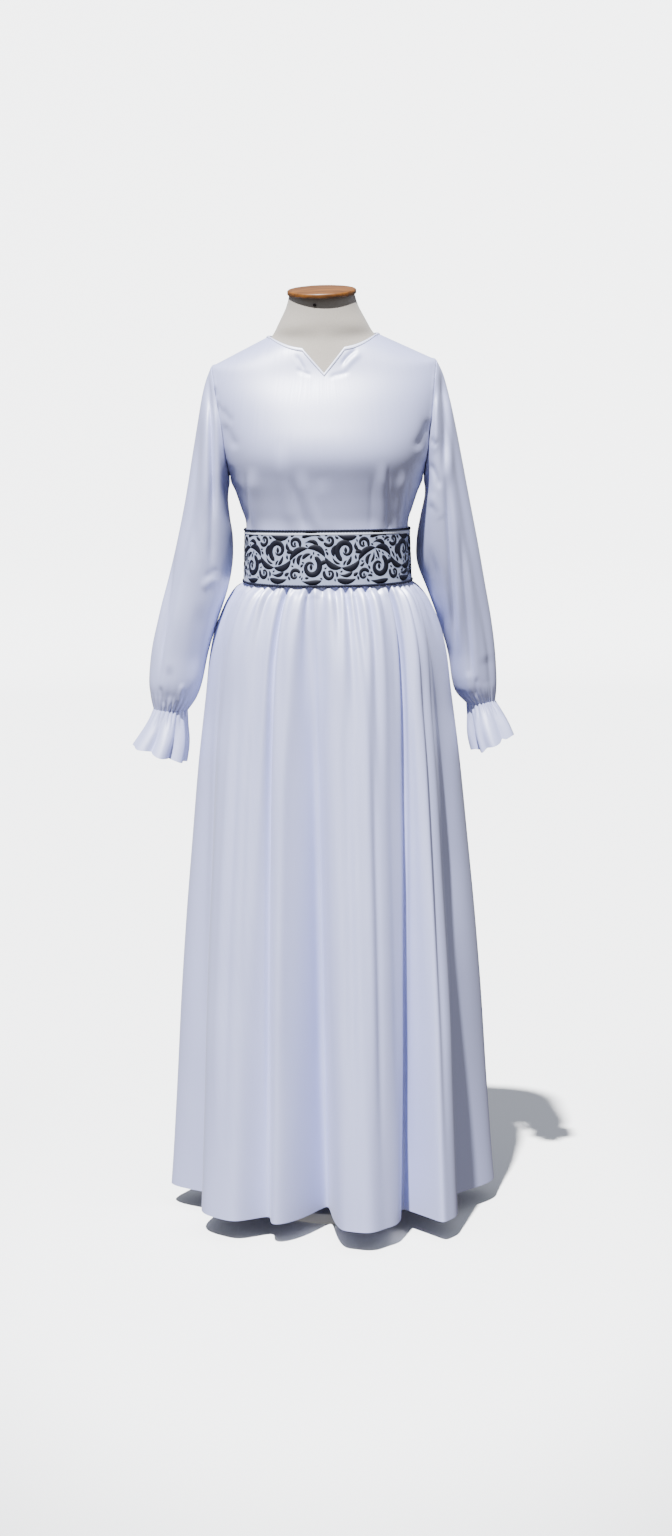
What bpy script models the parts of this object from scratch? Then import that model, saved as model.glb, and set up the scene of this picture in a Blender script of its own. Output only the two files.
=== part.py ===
# A satin maxi dress with a wide patterned belt, standing on a limbless dress form.
# Units are metres, +Z is up, the wearer would look along -Y, and the floor is z = 0.
# Every piece of cloth is a closed wall worked out from heights, widths, depths and folds.

import math
from collections import namedtuple

import bmesh
import bpy
from mathutils import Matrix, Vector

MM = 0.001
SEAM_GAP = 0.3 * MM
CLOTH = 1.6 * MM
BELT_THICKNESS = 2.0 * MM
BELT_EASE = 0.9 * MM

# Heights of the main lines of the dress above the floor
HEM = 0.035
WAIST_SEAM = 1.1085
UNDERARM = 1.235
SHOULDER_TIP = 1.414
NECK_POINT = 1.460
NOTCH_CORNER = 1.441
NOTCH_APEX = 1.401
BACK_NECK = 1.448
BACK_NECK_SIDE = 1.4495
NECK_SAG = 3.5 * MM
BELT_BOTTOM = 1.069
BELT_TOP = 1.150
BELT_ARCH = 6.0 * MM

# Half-widths from the centre line
UNDERARM_REACH = 0.1565
SHOULDER_REACH = 0.182
NECK_REACH = 0.0866
NOTCH_REACH = 0.0335
ARMHOLE_DEPTH = 0.055

# How square a section is seen from above: 2 is an ellipse
BODY_SQUARENESS = 2.3
HEM_SQUARENESS = 2.0

# The upper body stands a little out of true: from this height it leans towards -X and is
# lifted, so that one shoulder is the higher
LEAN_START = 1.27
LEAN_RUN = 0.14
LEAN_SLOPE = 0.020
SHOULDER_LIFT = 4.0 * MM

# Grid counts
PANEL_COLUMNS_NOTCH = 2
PANEL_COLUMNS_NECK = 4
PANEL_COLUMNS_SHOULDER = 6
COLUMNS_PER_FOLD = 3
TORSO_COLUMNS = 28

# The rows of a bodice panel: where each meets the side seam or, in degrees round from the
# shoulder tip, the armhole, and its share of the way up the centre line
SideRow = namedtuple("SideRow", "height share")
SIDE_ROWS = (
    SideRow(WAIST_SEAM, 0.00),
    SideRow(1.164, 0.188),
    SideRow(1.187, 0.255),
    SideRow(1.211, 0.325),
)
ArmholeRow = namedtuple("ArmholeRow", "angle share")
ARMHOLE_ROWS = (
    ArmholeRow(180, 0.40),
    ArmholeRow(150, 0.485),
    ArmholeRow(125, 0.57),
    ArmholeRow(100, 0.655),
    ArmholeRow(77, 0.74),
    ArmholeRow(55, 0.815),
    ArmholeRow(34, 0.885),
    ArmholeRow(15, 0.95),
    ArmholeRow(0, 1.00),
)

# The body of the dress by height, front and back measured from the side seams
BodySection = namedtuple("BodySection", "height side front back")
BODY_SECTIONS = (
    BodySection(1.065, 0.1341, 0.1071, 0.0971),
    BodySection(1.1085, 0.1329, 0.1061, 0.0961),
    BodySection(1.163, 0.1313, 0.1073, 0.0961),
    BodySection(1.182, 0.1378, 0.1126, 0.1000),
    BodySection(1.210, 0.1470, 0.1196, 0.1050),
    BodySection(1.235, 0.1565, 0.1262, 0.1090),
    BodySection(1.275, 0.1565, 0.1350, 0.1150),
    BodySection(1.293, 0.1565, 0.1330, 0.1180),
    BodySection(1.330, 0.1565, 0.1200, 0.1180),
    BodySection(1.360, 0.1565, 0.1070, 0.1130),
    BodySection(1.401, 0.1565, 0.0855, 0.0980),
    BodySection(1.441, 0.1565, 0.0715, 0.0750),
    BodySection(1.448, 0.1565, 0.0650, 0.0700),
    BodySection(1.455, 0.1565, 0.0567, 0.0620),
    BodySection(1.460, 0.1565, 0.0490, 0.0540),
)

# Soft folds that stand out of the front bodice between the bust and the belt
BodiceFold = namedtuple("BodiceFold", "x_top x_belt top bottom width rise")
BODICE_FOLDS = (
    BodiceFold(-0.120, -0.112, 1.255, 1.150, 0.010, 0.0030),
    BodiceFold(-0.020, -0.072, 1.290, 1.150, 0.014, 0.0022),
    BodiceFold(0.020, -0.030, 1.290, 1.150, 0.014, 0.0018),
    BodiceFold(0.085, 0.082, 1.260, 1.150, 0.011, 0.0028),
    BodiceFold(0.125, 0.110, 1.255, 1.150, 0.009, 0.0026),
)

FOLD_FADE = 0.4
FOLD_END = 1.162
FOLD_RUN_OUT = 0.040

# The skirt without its folds, by height
SkirtSection = namedtuple("SkirtSection", "height side front back")
SKIRT_SECTIONS = (
    SkirtSection(1.1085, 0.1329, 0.1061, 0.0961),
    SkirtSection(1.0650, 0.1341, 0.1071, 0.0971),
    SkirtSection(1.0520, 0.1480, 0.1170, 0.1090),
    SkirtSection(1.0300, 0.1628, 0.1260, 0.1200),
    SkirtSection(0.9755, 0.1840, 0.1410, 0.1400),
    SkirtSection(0.9340, 0.1927, 0.1490, 0.1500),
    SkirtSection(0.8790, 0.1989, 0.1570, 0.1580),
    SkirtSection(0.7690, 0.2111, 0.1700, 0.1710),
    SkirtSection(0.6350, 0.2227, 0.1840, 0.1850),
    SkirtSection(0.4990, 0.2337, 0.1970, 0.1980),
    SkirtSection(0.3620, 0.2427, 0.2080, 0.2080),
    SkirtSection(0.2240, 0.2498, 0.2170, 0.2170),
    SkirtSection(0.0850, 0.2576, 0.2240, 0.2240),
    SkirtSection(HEM, 0.2610, 0.2260, 0.2260),
)
SKIRT_ROWS = (WAIST_SEAM, 1.065, 1.052, 1.020, 0.960, 0.860, 0.700, 0.500, 0.270, HEM)

# The folds of the skirt, clockwise from the left side seam as seen from above: the angle
# from the front at the waist and at the hem in degrees, and how far the fold stands out
# of the plain skirt, or in from it, just under the belt and at the hem, in millimetres
SkirtFold = namedtuple("SkirtFold", "name waist_angle hem_angle waist_mm hem_mm")
SKIRT_FOLDS = (
    SkirtFold("left side seam", -90, -98, 2, 19),
    SkirtFold("left valley", -67, -79, -4, -58),
    SkirtFold("left lobe, outer end", -56, -52, 4, 9),
    SkirtFold("left lobe, inner end", -40, -38, 4, 9),
    SkirtFold("narrow valley", -25, -30, -7, -44),
    SkirtFold("narrow ridge", -16, -22, 5, -3),
    SkirtFold("deep centre valley", -7, -4, -7, -125),
    SkirtFold("centre lobe, left end", 1, 3, 5, 15),
    SkirtFold("centre pleat", 11, 11, -3, 32),
    SkirtFold("centre lobe, right end", 25, 20, 5, 10),
    SkirtFold("sharp valley", 43, 39, -7, -75),
    SkirtFold("bright ridge", 53, 37, 5, 29),
    SkirtFold("right lobe, outer end", 62, 44, 3, 21),
    SkirtFold("right valley", 73, 70, -4, -74),
    SkirtFold("right side seam", 90, 102, 2, 21),
    SkirtFold("right side, back end", 103, 112, 3, 17),
    SkirtFold("back valley 1", 117, 124, -5, -40),
    SkirtFold("back lobe 1, right end", 128, 134, 5, 17),
    SkirtFold("back lobe 1, left end", 140, 145, 5, 21),
    SkirtFold("back valley 2", 151, 155, -6, -58),
    SkirtFold("back lobe 2, right end", 159, 161, 5, 18),
    SkirtFold("back lobe 2, left end", 173, 176, 5, 24),
    SkirtFold("back valley 3", 183, 185, -6, -46),
    SkirtFold("back lobe 3, right end", 192, 194, 5, 16),
    SkirtFold("back lobe 3, left end", 203, 204, 5, 19),
    SkirtFold("back valley 4", 213, 213, -6, -62),
    SkirtFold("back lobe 4, right end", 223, 221, 5, 20),
    SkirtFold("back lobe 4, left end", 238, 234, 5, 18),
    SkirtFold("back valley 5", 249, 244, -5, -40),
    SkirtFold("left side, back end", 259, 253, 3, 16),
)
FOLD_GROWTH = 2.2
GATHER_START = 1.066
GATHER_FULL = 1.045
GATHER_END = 0.86

# Sleeves: the outer and inner edge of each ring as seen from the front, its middle from
# front to back and half its depth. The first ring is the armhole.
SleeveRing = namedtuple("SleeveRing", "outer_x outer_z inner_x inner_z middle_y half_depth")
LEFT_SLEEVE = (
    SleeveRing(0.1925, 1.389, 0.1605, 1.216, 0.000, 0.0560),
    SleeveRing(0.2020, 1.353, 0.1617, 1.196, 0.000, 0.0570),
    SleeveRing(0.2145, 1.290, 0.1590, 1.168, 0.001, 0.0580),
    SleeveRing(0.2300, 1.202, 0.1550, 1.138, 0.002, 0.0570),
    SleeveRing(0.2460, 1.128, 0.1560, 1.096, 0.004, 0.0550),
    SleeveRing(0.2610, 1.069, 0.1650, 1.052, 0.006, 0.0520),
    SleeveRing(0.2770, 1.010, 0.1820, 1.001, 0.008, 0.0500),
    SleeveRing(0.2900, 0.955, 0.1980, 0.949, 0.010, 0.0480),
    SleeveRing(0.2955, 0.905, 0.2090, 0.900, 0.010, 0.0450),
    SleeveRing(0.2935, 0.878, 0.2190, 0.874, 0.010, 0.0370),
    SleeveRing(0.2885, 0.855, 0.2350, 0.852, 0.010, 0.0260),
)
LEFT_FRILL = (
    SleeveRing(0.2885, 0.855, 0.2350, 0.852, 0.010, 0.0260),
    SleeveRing(0.2970, 0.836, 0.2345, 0.831, 0.010, 0.0300),
    SleeveRing(0.3080, 0.816, 0.2345, 0.801, 0.010, 0.0370),
    SleeveRing(0.3210, 0.796, 0.2400, 0.768, 0.010, 0.0430),
)
RIGHT_SLEEVE = (
    SleeveRing(0.1920, 1.392, 0.1605, 1.216, 0.002, 0.0560),
    SleeveRing(0.2010, 1.357, 0.1595, 1.196, 0.004, 0.0570),
    SleeveRing(0.2150, 1.290, 0.1525, 1.165, 0.008, 0.0580),
    SleeveRing(0.2320, 1.200, 0.1470, 1.130, 0.014, 0.0570),
    SleeveRing(0.2470, 1.122, 0.1480, 1.092, 0.022, 0.0550),
    SleeveRing(0.2580, 1.060, 0.1650, 1.046, 0.032, 0.0520),
    SleeveRing(0.2690, 0.999, 0.1840, 0.992, 0.044, 0.0490),
    SleeveRing(0.2760, 0.945, 0.1990, 0.940, 0.052, 0.0460),
    SleeveRing(0.2790, 0.898, 0.2060, 0.893, 0.056, 0.0430),
    SleeveRing(0.2785, 0.877, 0.2130, 0.872, 0.056, 0.0360),
    SleeveRing(0.2755, 0.858, 0.2310, 0.853, 0.056, 0.0260),
)
RIGHT_FRILL = (
    SleeveRing(0.2755, 0.858, 0.2310, 0.853, 0.056, 0.0260),
    SleeveRing(0.2850, 0.843, 0.2310, 0.834, 0.056, 0.0300),
    SleeveRing(0.2960, 0.822, 0.2330, 0.806, 0.056, 0.0370),
    SleeveRing(0.3060, 0.798, 0.2400, 0.778, 0.056, 0.0430),
)
WRIST_GATHERS = 8
WRIST_GATHER_DEPTH = 2.2 * MM
FRILL_WAVE_DEPTH = 7.0 * MM
WRIST_GATHER_START = 0.8
CREASE_ANGLE = 42.0
CREASE_WIDTH = 17.0
CREASE_DEPTH = 5.0 * MM

# Round the armhole the sleeve turns from lying edge to edge with the panels, on top, to
# hanging beside them, under the arm, between these shares of the way down
HANG_START = 0.45
HANG_END = 0.85

# The dress form by height: half-width, depth to the front and to the back, squareness
FormSection = namedtuple("FormSection", "height side front back squareness")
FORM_SECTIONS = (
    FormSection(0.800, 0.120, 0.075, 0.085, 2.3),
    FormSection(0.806, 0.142, 0.090, 0.100, 2.3),
    FormSection(0.850, 0.158, 0.101, 0.114, 2.3),
    FormSection(0.930, 0.164, 0.104, 0.118, 2.3),
    FormSection(1.000, 0.150, 0.098, 0.108, 2.3),
    FormSection(1.060, 0.127, 0.097, 0.088, 2.3),
    FormSection(1.110, 0.123, 0.097, 0.087, 2.3),
    FormSection(1.150, 0.124, 0.099, 0.090, 2.3),
    FormSection(1.195, 0.136, 0.1085, 0.099, 2.3),
    FormSection(1.235, 0.148, 0.1215, 0.103, 2.3),
    FormSection(1.275, 0.151, 0.1312, 0.109, 2.3),
    FormSection(1.315, 0.153, 0.1200, 0.112, 2.3),
    FormSection(1.355, 0.158, 0.102, 0.107, 2.3),
    FormSection(1.385, 0.1635, 0.088, 0.098, 2.3),
    FormSection(1.408, 0.1660, 0.0785, 0.089, 2.0),
    FormSection(1.419, 0.1630, 0.0730, 0.081, 1.6),
    FormSection(1.430, 0.1405, 0.0680, 0.074, 1.6),
    FormSection(1.445, 0.1090, 0.0610, 0.065, 1.6),
    FormSection(1.456, 0.0850, 0.0555, 0.0565, 1.6),
    FormSection(1.470, 0.0770, 0.0540, 0.0530, 2.0),
    FormSection(1.4875, 0.0680, 0.0520, 0.051, 2.0),
    FormSection(1.507, 0.0580, 0.0475, 0.048, 2.0),
    FormSection(1.5245, 0.0535, 0.0440, 0.046, 2.0),
)
NECK_TILT_START = 1.470
NECK_TILT_RUN = 0.030
NECK_TILT = 0.12

# The wooden cap of the neck by its rings, from underside to top, and the screw head below
CAP_HALF_WIDTH = 0.0560
CAP_HALF_DEPTH = 0.0570
CapRing = namedtuple("CapRing", "share rise_mm")
CAP_RINGS = (
    CapRing(0.900, 0.0),
    CapRing(0.970, 1.6),
    CapRing(1.000, 4.0),
    CapRing(0.975, 6.4),
    CapRing(0.850, 9.1),
    CapRing(0.500, 11.0),
)
SCREW_RADIUS = 2.6 * MM
SCREW_THICKNESS = 1.4 * MM
SCREW_X = -0.012
SCREW_HEIGHT = 1.514

# Stand
POLE_RADIUS = 0.014
COLLAR_RADIUS = 0.026
COLLAR_HEIGHT = 0.040
BASE_RADIUS = 0.095
BASE_THICKNESS = 0.018
BASE_CHAMFER = 0.003

# Trims
BINDING_WIDTH = 5.5 * MM
BINDING_THICKNESS = 1.2 * MM
BINDING_LIFT = 1.3 * MM
TOP_TRIM_RADIUS = 1.2 * MM
BOTTOM_TRIM_RADIUS = 1.6 * MM
TRIM_OUTSET = 1.2 * MM
TRIM_COLUMNS = 44
TRIM_SIDES = 5


def clear_scene():
    for item in list(bpy.data.objects):
        bpy.data.objects.remove(item, do_unlink=True)


def finish(name, colour, roughness, metallic=0.0, sheen=0.0):
    material = bpy.data.materials.new(name)
    material.use_nodes = True
    shader = material.node_tree.nodes["Principled BSDF"]
    shader.inputs["Base Color"].default_value = (*colour, 1.0)
    shader.inputs["Roughness"].default_value = roughness
    shader.inputs["Metallic"].default_value = metallic
    shader.inputs["Sheen Weight"].default_value = sheen
    return material


def smooth_step(value):
    value = min(1.0, max(0.0, value))
    return value * value * (3.0 - 2.0 * value)


def mix(first, second, share):
    return first + (second - first) * share


def table_value(rows, column, height):
    """Read a column of a table at a height, on a smooth curve through its rows."""
    rows = sorted(rows, key=lambda row: row.height)
    heights = [row.height for row in rows]
    values = [getattr(row, column) for row in rows]
    if height <= heights[0]:
        return values[0]
    if height >= heights[-1]:
        return values[-1]
    index = max(i for i, level in enumerate(heights[:-1]) if level <= height)

    def secant(i):
        i = min(max(i, 0), len(rows) - 2)
        return (values[i + 1] - values[i]) / (heights[i + 1] - heights[i])

    def slope(i):
        below, above = secant(i - 1), secant(i)
        if below * above <= 0.0:
            return 0.0
        return 2.0 * below * above / (below + above)

    span = heights[index + 1] - heights[index]
    t = (height - heights[index]) / span
    rise_start = slope(index) * span
    rise_end = slope(index + 1) * span
    return (
        values[index] * (2 * t**3 - 3 * t**2 + 1)
        + rise_start * (t**3 - 2 * t**2 + t)
        + values[index + 1] * (3 * t**2 - 2 * t**3)
        + rise_end * (t**3 - t**2)
    )


def signed_power(value, power):
    return math.copysign(abs(value) ** power, value)


def section_point(angle, side, depth, height, squareness):
    """A point of a rounded section: angle 0 is the front, +90 the side at +X."""
    power = 2.0 / squareness
    return Vector((
        side * signed_power(math.sin(angle), power),
        -depth * signed_power(math.cos(angle), power),
        height,
    ))


def grid_normals(rows, closed):
    """Outward normals of a grid whose rows run round the body towards +X at the front."""
    normals = []
    last_row = len(rows) - 1
    for i, row in enumerate(rows):
        count = len(row)
        line = []
        for j in range(count):
            if closed:
                along = row[(j + 1) % count] - row[(j - 1) % count]
            else:
                along = row[min(j + 1, count - 1)] - row[max(j - 1, 0)]
            up = rows[min(i + 1, last_row)][j] - rows[max(i - 1, 0)][j]
            line.append(along.cross(up).normalized())
        normals.append(line)
    return normals


def level_normals(line):
    return [Vector((n.x, n.y, 0.0)).normalized() for n in line]


def leaned(point):
    """Where the lean of the upper body takes a point."""
    share = smooth_step((point.z - LEAN_START) / LEAN_RUN)
    aside = LEAN_SLOPE * (point.z - LEAN_START) * share
    lift = (SHOULDER_LIFT + LEAN_SLOPE * point.x) * share
    return Vector((point.x - aside, point.y, point.z + lift))


def new_object(name, bm, material, smooth_angle=35.0):
    mesh = bpy.data.meshes.new(name)
    for vert in bm.verts:
        vert.co = leaned(vert.co)
    bmesh.ops.recalc_face_normals(bm, faces=bm.faces)
    bm.to_mesh(mesh)
    bm.free()
    mesh.shade_smooth()
    mesh.set_sharp_from_angle(angle=math.radians(smooth_angle))
    mesh.materials.append(material)
    piece = bpy.data.objects.new(name, mesh)
    bpy.context.scene.collection.objects.link(piece)
    return piece


def wall_piece(name, rows, normals, closed, thickness, material):
    """A closed wall of even thickness about a grid of mid points."""
    bm = bmesh.new()
    half = thickness / 2.0
    outer = [[bm.verts.new(p + n * half) for p, n in zip(*pair)] for pair in zip(rows, normals)]
    inner = [[bm.verts.new(p - n * half) for p, n in zip(*pair)] for pair in zip(rows, normals)]
    count = len(rows[0])
    steps = count if closed else count - 1
    for i in range(len(rows) - 1):
        for j in range(steps):
            k = (j + 1) % count
            bm.faces.new((outer[i][j], outer[i][k], outer[i + 1][k], outer[i + 1][j]))
            bm.faces.new((inner[i][j], inner[i + 1][j], inner[i + 1][k], inner[i][k]))
    for j in range(steps):
        k = (j + 1) % count
        bm.faces.new((outer[0][j], inner[0][j], inner[0][k], outer[0][k]))
        bm.faces.new((outer[-1][j], outer[-1][k], inner[-1][k], inner[-1][j]))
    if not closed:
        for i in range(len(rows) - 1):
            bm.faces.new((outer[i][0], outer[i + 1][0], inner[i + 1][0], inner[i][0]))
            bm.faces.new((outer[i][-1], inner[i][-1], inner[i + 1][-1], outer[i + 1][-1]))
    return new_object(name, bm, material)


def armhole_point(angle, facing):
    """The armhole at +X: angle 0 is the shoulder tip, pi the underarm."""
    across = (1.0 + math.cos(angle)) / 2.0
    return Vector((
        mix(UNDERARM_REACH, SHOULDER_REACH, across),
        facing * ARMHOLE_DEPTH * math.sin(angle),
        mix(UNDERARM, SHOULDER_TIP, across),
    ))


def body_depth(height, facing):
    return table_value(BODY_SECTIONS, "front" if facing < 0 else "back", height)


def body_reach(height, facing):
    """Half-width of the whole section at a height, as if the armhole were filled."""
    if height <= UNDERARM:
        return table_value(BODY_SECTIONS, "side", height)
    if height >= SHOULDER_TIP:
        share = (height - SHOULDER_TIP) / (NECK_POINT - SHOULDER_TIP)
        return mix(SHOULDER_REACH, NECK_REACH, share)
    across = (height - UNDERARM) / (SHOULDER_TIP - UNDERARM)
    edge_x = mix(UNDERARM_REACH, SHOULDER_REACH, across)
    edge_y = ARMHOLE_DEPTH * math.sin(math.acos(2.0 * across - 1.0))
    inset = (edge_y / body_depth(height, facing)) ** BODY_SQUARENESS
    return edge_x / (1.0 - inset) ** (1.0 / BODY_SQUARENESS)


def body_point(x, height, facing):
    share = min(1.0, abs(x) / body_reach(height, facing))
    bulge = (1.0 - share**BODY_SQUARENESS) ** (1.0 / BODY_SQUARENESS)
    return Vector((x, facing * body_depth(height, facing) * bulge, height))


def bodice_fold_rise(x, height):
    rise = 0.0
    for fold in BODICE_FOLDS:
        share = (fold.top - height) / (fold.top - fold.bottom)
        centre = mix(fold.x_top, fold.x_belt, share)
        fade = smooth_step(share / FOLD_FADE) * smooth_step((height - FOLD_END) / FOLD_RUN_OUT)
        rise += fold.rise * fade * math.exp(-(((x - centre) / fold.width) ** 2))
    return rise


def neck_edge(facing):
    """Half of a panel's top edge as (x, height), from the centre to the shoulder tip."""
    edge = []
    corner_x = NOTCH_REACH
    corner_z = NOTCH_CORNER if facing < 0 else BACK_NECK_SIDE
    centre_z = NOTCH_APEX if facing < 0 else BACK_NECK
    for i in range(PANEL_COLUMNS_NOTCH):
        share = i / PANEL_COLUMNS_NOTCH
        edge.append((corner_x * share, mix(centre_z, corner_z, share)))
    for i in range(PANEL_COLUMNS_NECK):
        share = i / PANEL_COLUMNS_NECK
        sag = NECK_SAG * math.sin(math.pi * share) if facing < 0 else 0.0
        edge.append((mix(corner_x, NECK_REACH, share), mix(corner_z, NECK_POINT, share) - sag))
    for i in range(PANEL_COLUMNS_SHOULDER + 1):
        share = i / PANEL_COLUMNS_SHOULDER
        edge.append((mix(NECK_REACH, SHOULDER_REACH, share), mix(NECK_POINT, SHOULDER_TIP, share)))
    return edge


def side_edge():
    """The right edge of a panel as (x, height): side seam, then armhole up to the tip."""
    edge = []
    for row in SIDE_ROWS:
        edge.append((table_value(BODY_SECTIONS, "side", row.height), row.height))
    for row in ARMHOLE_ROWS:
        point = armhole_point(math.radians(row.angle), 1.0)
        edge.append((point.x, point.z))
    return edge


def half_panel(facing):
    """Rows of (x, height) from waist to top, blended between the panel's four edges."""
    top = neck_edge(facing)
    side = side_edge()
    last_column = len(top) - 1
    shares = [row.share for row in SIDE_ROWS + ARMHOLE_ROWS]
    bottom_reach = table_value(BODY_SECTIONS, "side", WAIST_SEAM)
    rows = []
    for i, share in enumerate(shares):
        pull = share**2
        centre_height = mix(WAIST_SEAM, NOTCH_APEX, share) + (top[0][1] - NOTCH_APEX) * pull
        centre = (0.0, centre_height)
        row = []
        for j in range(last_column + 1):
            u = j / last_column
            bottom = (bottom_reach * math.sin(u * math.pi / 2.0), WAIST_SEAM)
            point = []
            for axis in (0, 1):
                across = mix(centre[axis], side[i][axis], u)
                from_bottom = bottom[axis] - mix((0.0, WAIST_SEAM)[axis], side[0][axis], u)
                from_top = top[j][axis] - mix(top[0][axis], side[-1][axis], u)
                point.append(across + mix(from_bottom, from_top, pull))
            row.append(tuple(point))
        rows.append(row)
    return rows


def bodice_grid(facing):
    """Mid points and normals of a whole bodice panel; facing -1 is the front."""
    rows = []
    for i, half in enumerate(half_panel(facing)):
        row = []
        for mirror in (-1.0, 1.0):
            columns = half[:0:-1] if mirror < 0 else half
            for x, height in columns:
                level = height + (SEAM_GAP / 2.0 if i == 0 else 0.0)
                point = body_point(mirror * x, level, facing)
                if facing < 0:
                    point.y -= bodice_fold_rise(point.x, level)
                row.append(point)
        rows.append(row)
    for row in rows:
        for end in (0, -1):
            row[end].y = facing * max(abs(row[end].y), SEAM_GAP / 2.0)
    shoulder = PANEL_COLUMNS_SHOULDER
    for point in rows[-1][:shoulder + 1] + rows[-1][-shoulder - 1:]:
        point.y = facing * SEAM_GAP / 2.0
    if facing > 0:
        rows = [row[::-1] for row in rows]
    normals = grid_normals(rows, closed=False)
    normals[0] = level_normals(normals[0])
    for i in range(len(SIDE_ROWS)):
        for end in (0, -1):
            side_normal = normals[i][end]
            normals[i][end] = Vector((side_normal.x, 0.0, side_normal.z)).normalized()
    slope = Vector((NECK_POINT - SHOULDER_TIP, 0.0, SHOULDER_REACH - NECK_REACH)).normalized()
    for j in range(shoulder + 1):
        for end in (j, -1 - j):
            side = 1.0 if rows[-1][end].x > 0 else -1.0
            normals[-1][end] = Vector((side * slope.x, 0.0, slope.z))
    return rows, normals


def sleeve_rings(table, side):
    """Rings from top to bottom, each from its outer edge; side is +1 at +X."""
    grid = []
    for row in table:
        line = []
        for angle in SLEEVE_ANGLES:
            across = (1.0 + math.cos(angle)) / 2.0
            line.append(Vector((
                side * mix(row.inner_x, row.outer_x, across),
                row.middle_y + side * row.half_depth * math.sin(angle),
                mix(row.inner_z, row.outer_z, across),
            )))
        grid.append(line)
    return grid


def sleeve_angles():
    """Angles round a sleeve in line with the armhole rows and half-way between them."""
    angles = [math.radians(row.angle) for row in reversed(ARMHOLE_ROWS)]
    angles += [2.0 * math.pi - math.radians(row.angle) for row in ARMHOLE_ROWS[1:]]
    between = [(low + high) / 2.0 for low, high in zip(angles, angles[1:])]
    return sorted(angles[:-1] + between)


SLEEVE_ANGLES = sleeve_angles()


def with_midpoints(line, merge):
    """Put a new value between each two neighbours of a closed line."""
    filled = []
    for j, value in enumerate(line):
        filled.append(value)
        filled.append(merge(value, line[(j + 1) % len(line)]))
    return filled


def armhole_ring(front, back, side):
    """The panels' own edge round an armhole, from the shoulder tip, and its normals."""
    first, second = (back, front) if side > 0 else (front, back)
    underarm_row = len(SIDE_ROWS)
    points = []
    normals = []
    for i in range(len(first[0]) - 1, underarm_row, -1):
        points.append(first[0][i][0])
        normals.append(first[1][i][0])
    for i in range(underarm_row, len(second[0]) - 1):
        points.append(second[0][i][-1])
        normals.append(second[1][i][-1])
    points[0] = Vector((points[0].x, 0.0, points[0].z))
    points[len(ARMHOLE_ROWS) - 1] = Vector((side * UNDERARM_REACH, 0.0, UNDERARM))
    points = with_midpoints(points, lambda a, b: (a + b) / 2.0)
    normals = with_midpoints(normals, lambda a, b: (a + b).normalized())
    return points, normals


def shift_radially(line, amounts):
    centre = sum(line, Vector()) / len(line)
    moved = []
    for point, amount in zip(line, amounts):
        away = point - centre
        away.z = 0.0
        moved.append(point + away.normalized() * amount)
    return moved


def gather_wave(depth):
    count = len(SLEEVE_ANGLES)
    return [depth * math.cos(2.0 * math.pi * WRIST_GATHERS * j / count) for j in range(count)]


def make_sleeve(name, table, side, front, back, material):
    edge, edge_normals = armhole_ring(front, back, side)
    grid = [edge] + sleeve_rings(table, side)
    last = len(grid) - 1
    for i in range(1, last + 1):
        share = i / last
        crease = CREASE_DEPTH * math.sin(math.pi * share)
        gathered = smooth_step((share - WRIST_GATHER_START) / (1.0 - WRIST_GATHER_START))
        amounts = gather_wave(WRIST_GATHER_DEPTH * gathered)
        for j, angle in enumerate(SLEEVE_ANGLES):
            from_crease = math.degrees(angle) + side * CREASE_ANGLE
            from_crease = (from_crease + 180.0) % 360.0 - 180.0
            amounts[j] -= crease * math.exp(-((from_crease / CREASE_WIDTH) ** 2))
        grid[i] = shift_radially(grid[i], amounts)
    rows = grid[::-1]
    normals = grid_normals(rows, closed=True)
    normals[0] = level_normals(normals[0])
    for j, angle in enumerate(SLEEVE_ANGLES):
        underside = (1.0 - math.cos(angle)) / 2.0
        hanging = smooth_step((underside - HANG_START) / (HANG_END - HANG_START))
        along = (edge[(j + 1) % len(edge)] - edge[j - 1]).normalized()
        away = along.cross(edge_normals[j]).normalized()
        beside = Vector((side, 0.0, 0.0)) * (CLOTH + 2.0 * SEAM_GAP)
        rows[-1][j] = edge[j] + away * 2.0 * SEAM_GAP * (1.0 - hanging) + beside * hanging
        normals[-1][j] = edge_normals[j].lerp(normals[-1][j], hanging).normalized()
    return wall_piece(name, rows, normals, True, CLOTH, material)


def make_frill(name, table, side, material):
    grid = sleeve_rings(table, side)
    last = len(grid) - 1
    for i in range(last + 1):
        depth = mix(WRIST_GATHER_DEPTH, FRILL_WAVE_DEPTH, i / last)
        grid[i] = shift_radially(grid[i], gather_wave(depth))
    for point in grid[0]:
        point.z -= SEAM_GAP
    rows = grid[::-1]
    normals = grid_normals(rows, closed=True)
    normals[-1] = level_normals(normals[-1])
    return wall_piece(name, rows, normals, True, CLOTH, material)


def skirt_point(angle, height, squareness):
    depth_name = "front" if math.cos(angle) > 0 else "back"
    side = table_value(SKIRT_SECTIONS, "side", height)
    depth = table_value(SKIRT_SECTIONS, depth_name, height)
    return section_point(angle, side, depth, height, squareness)


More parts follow.
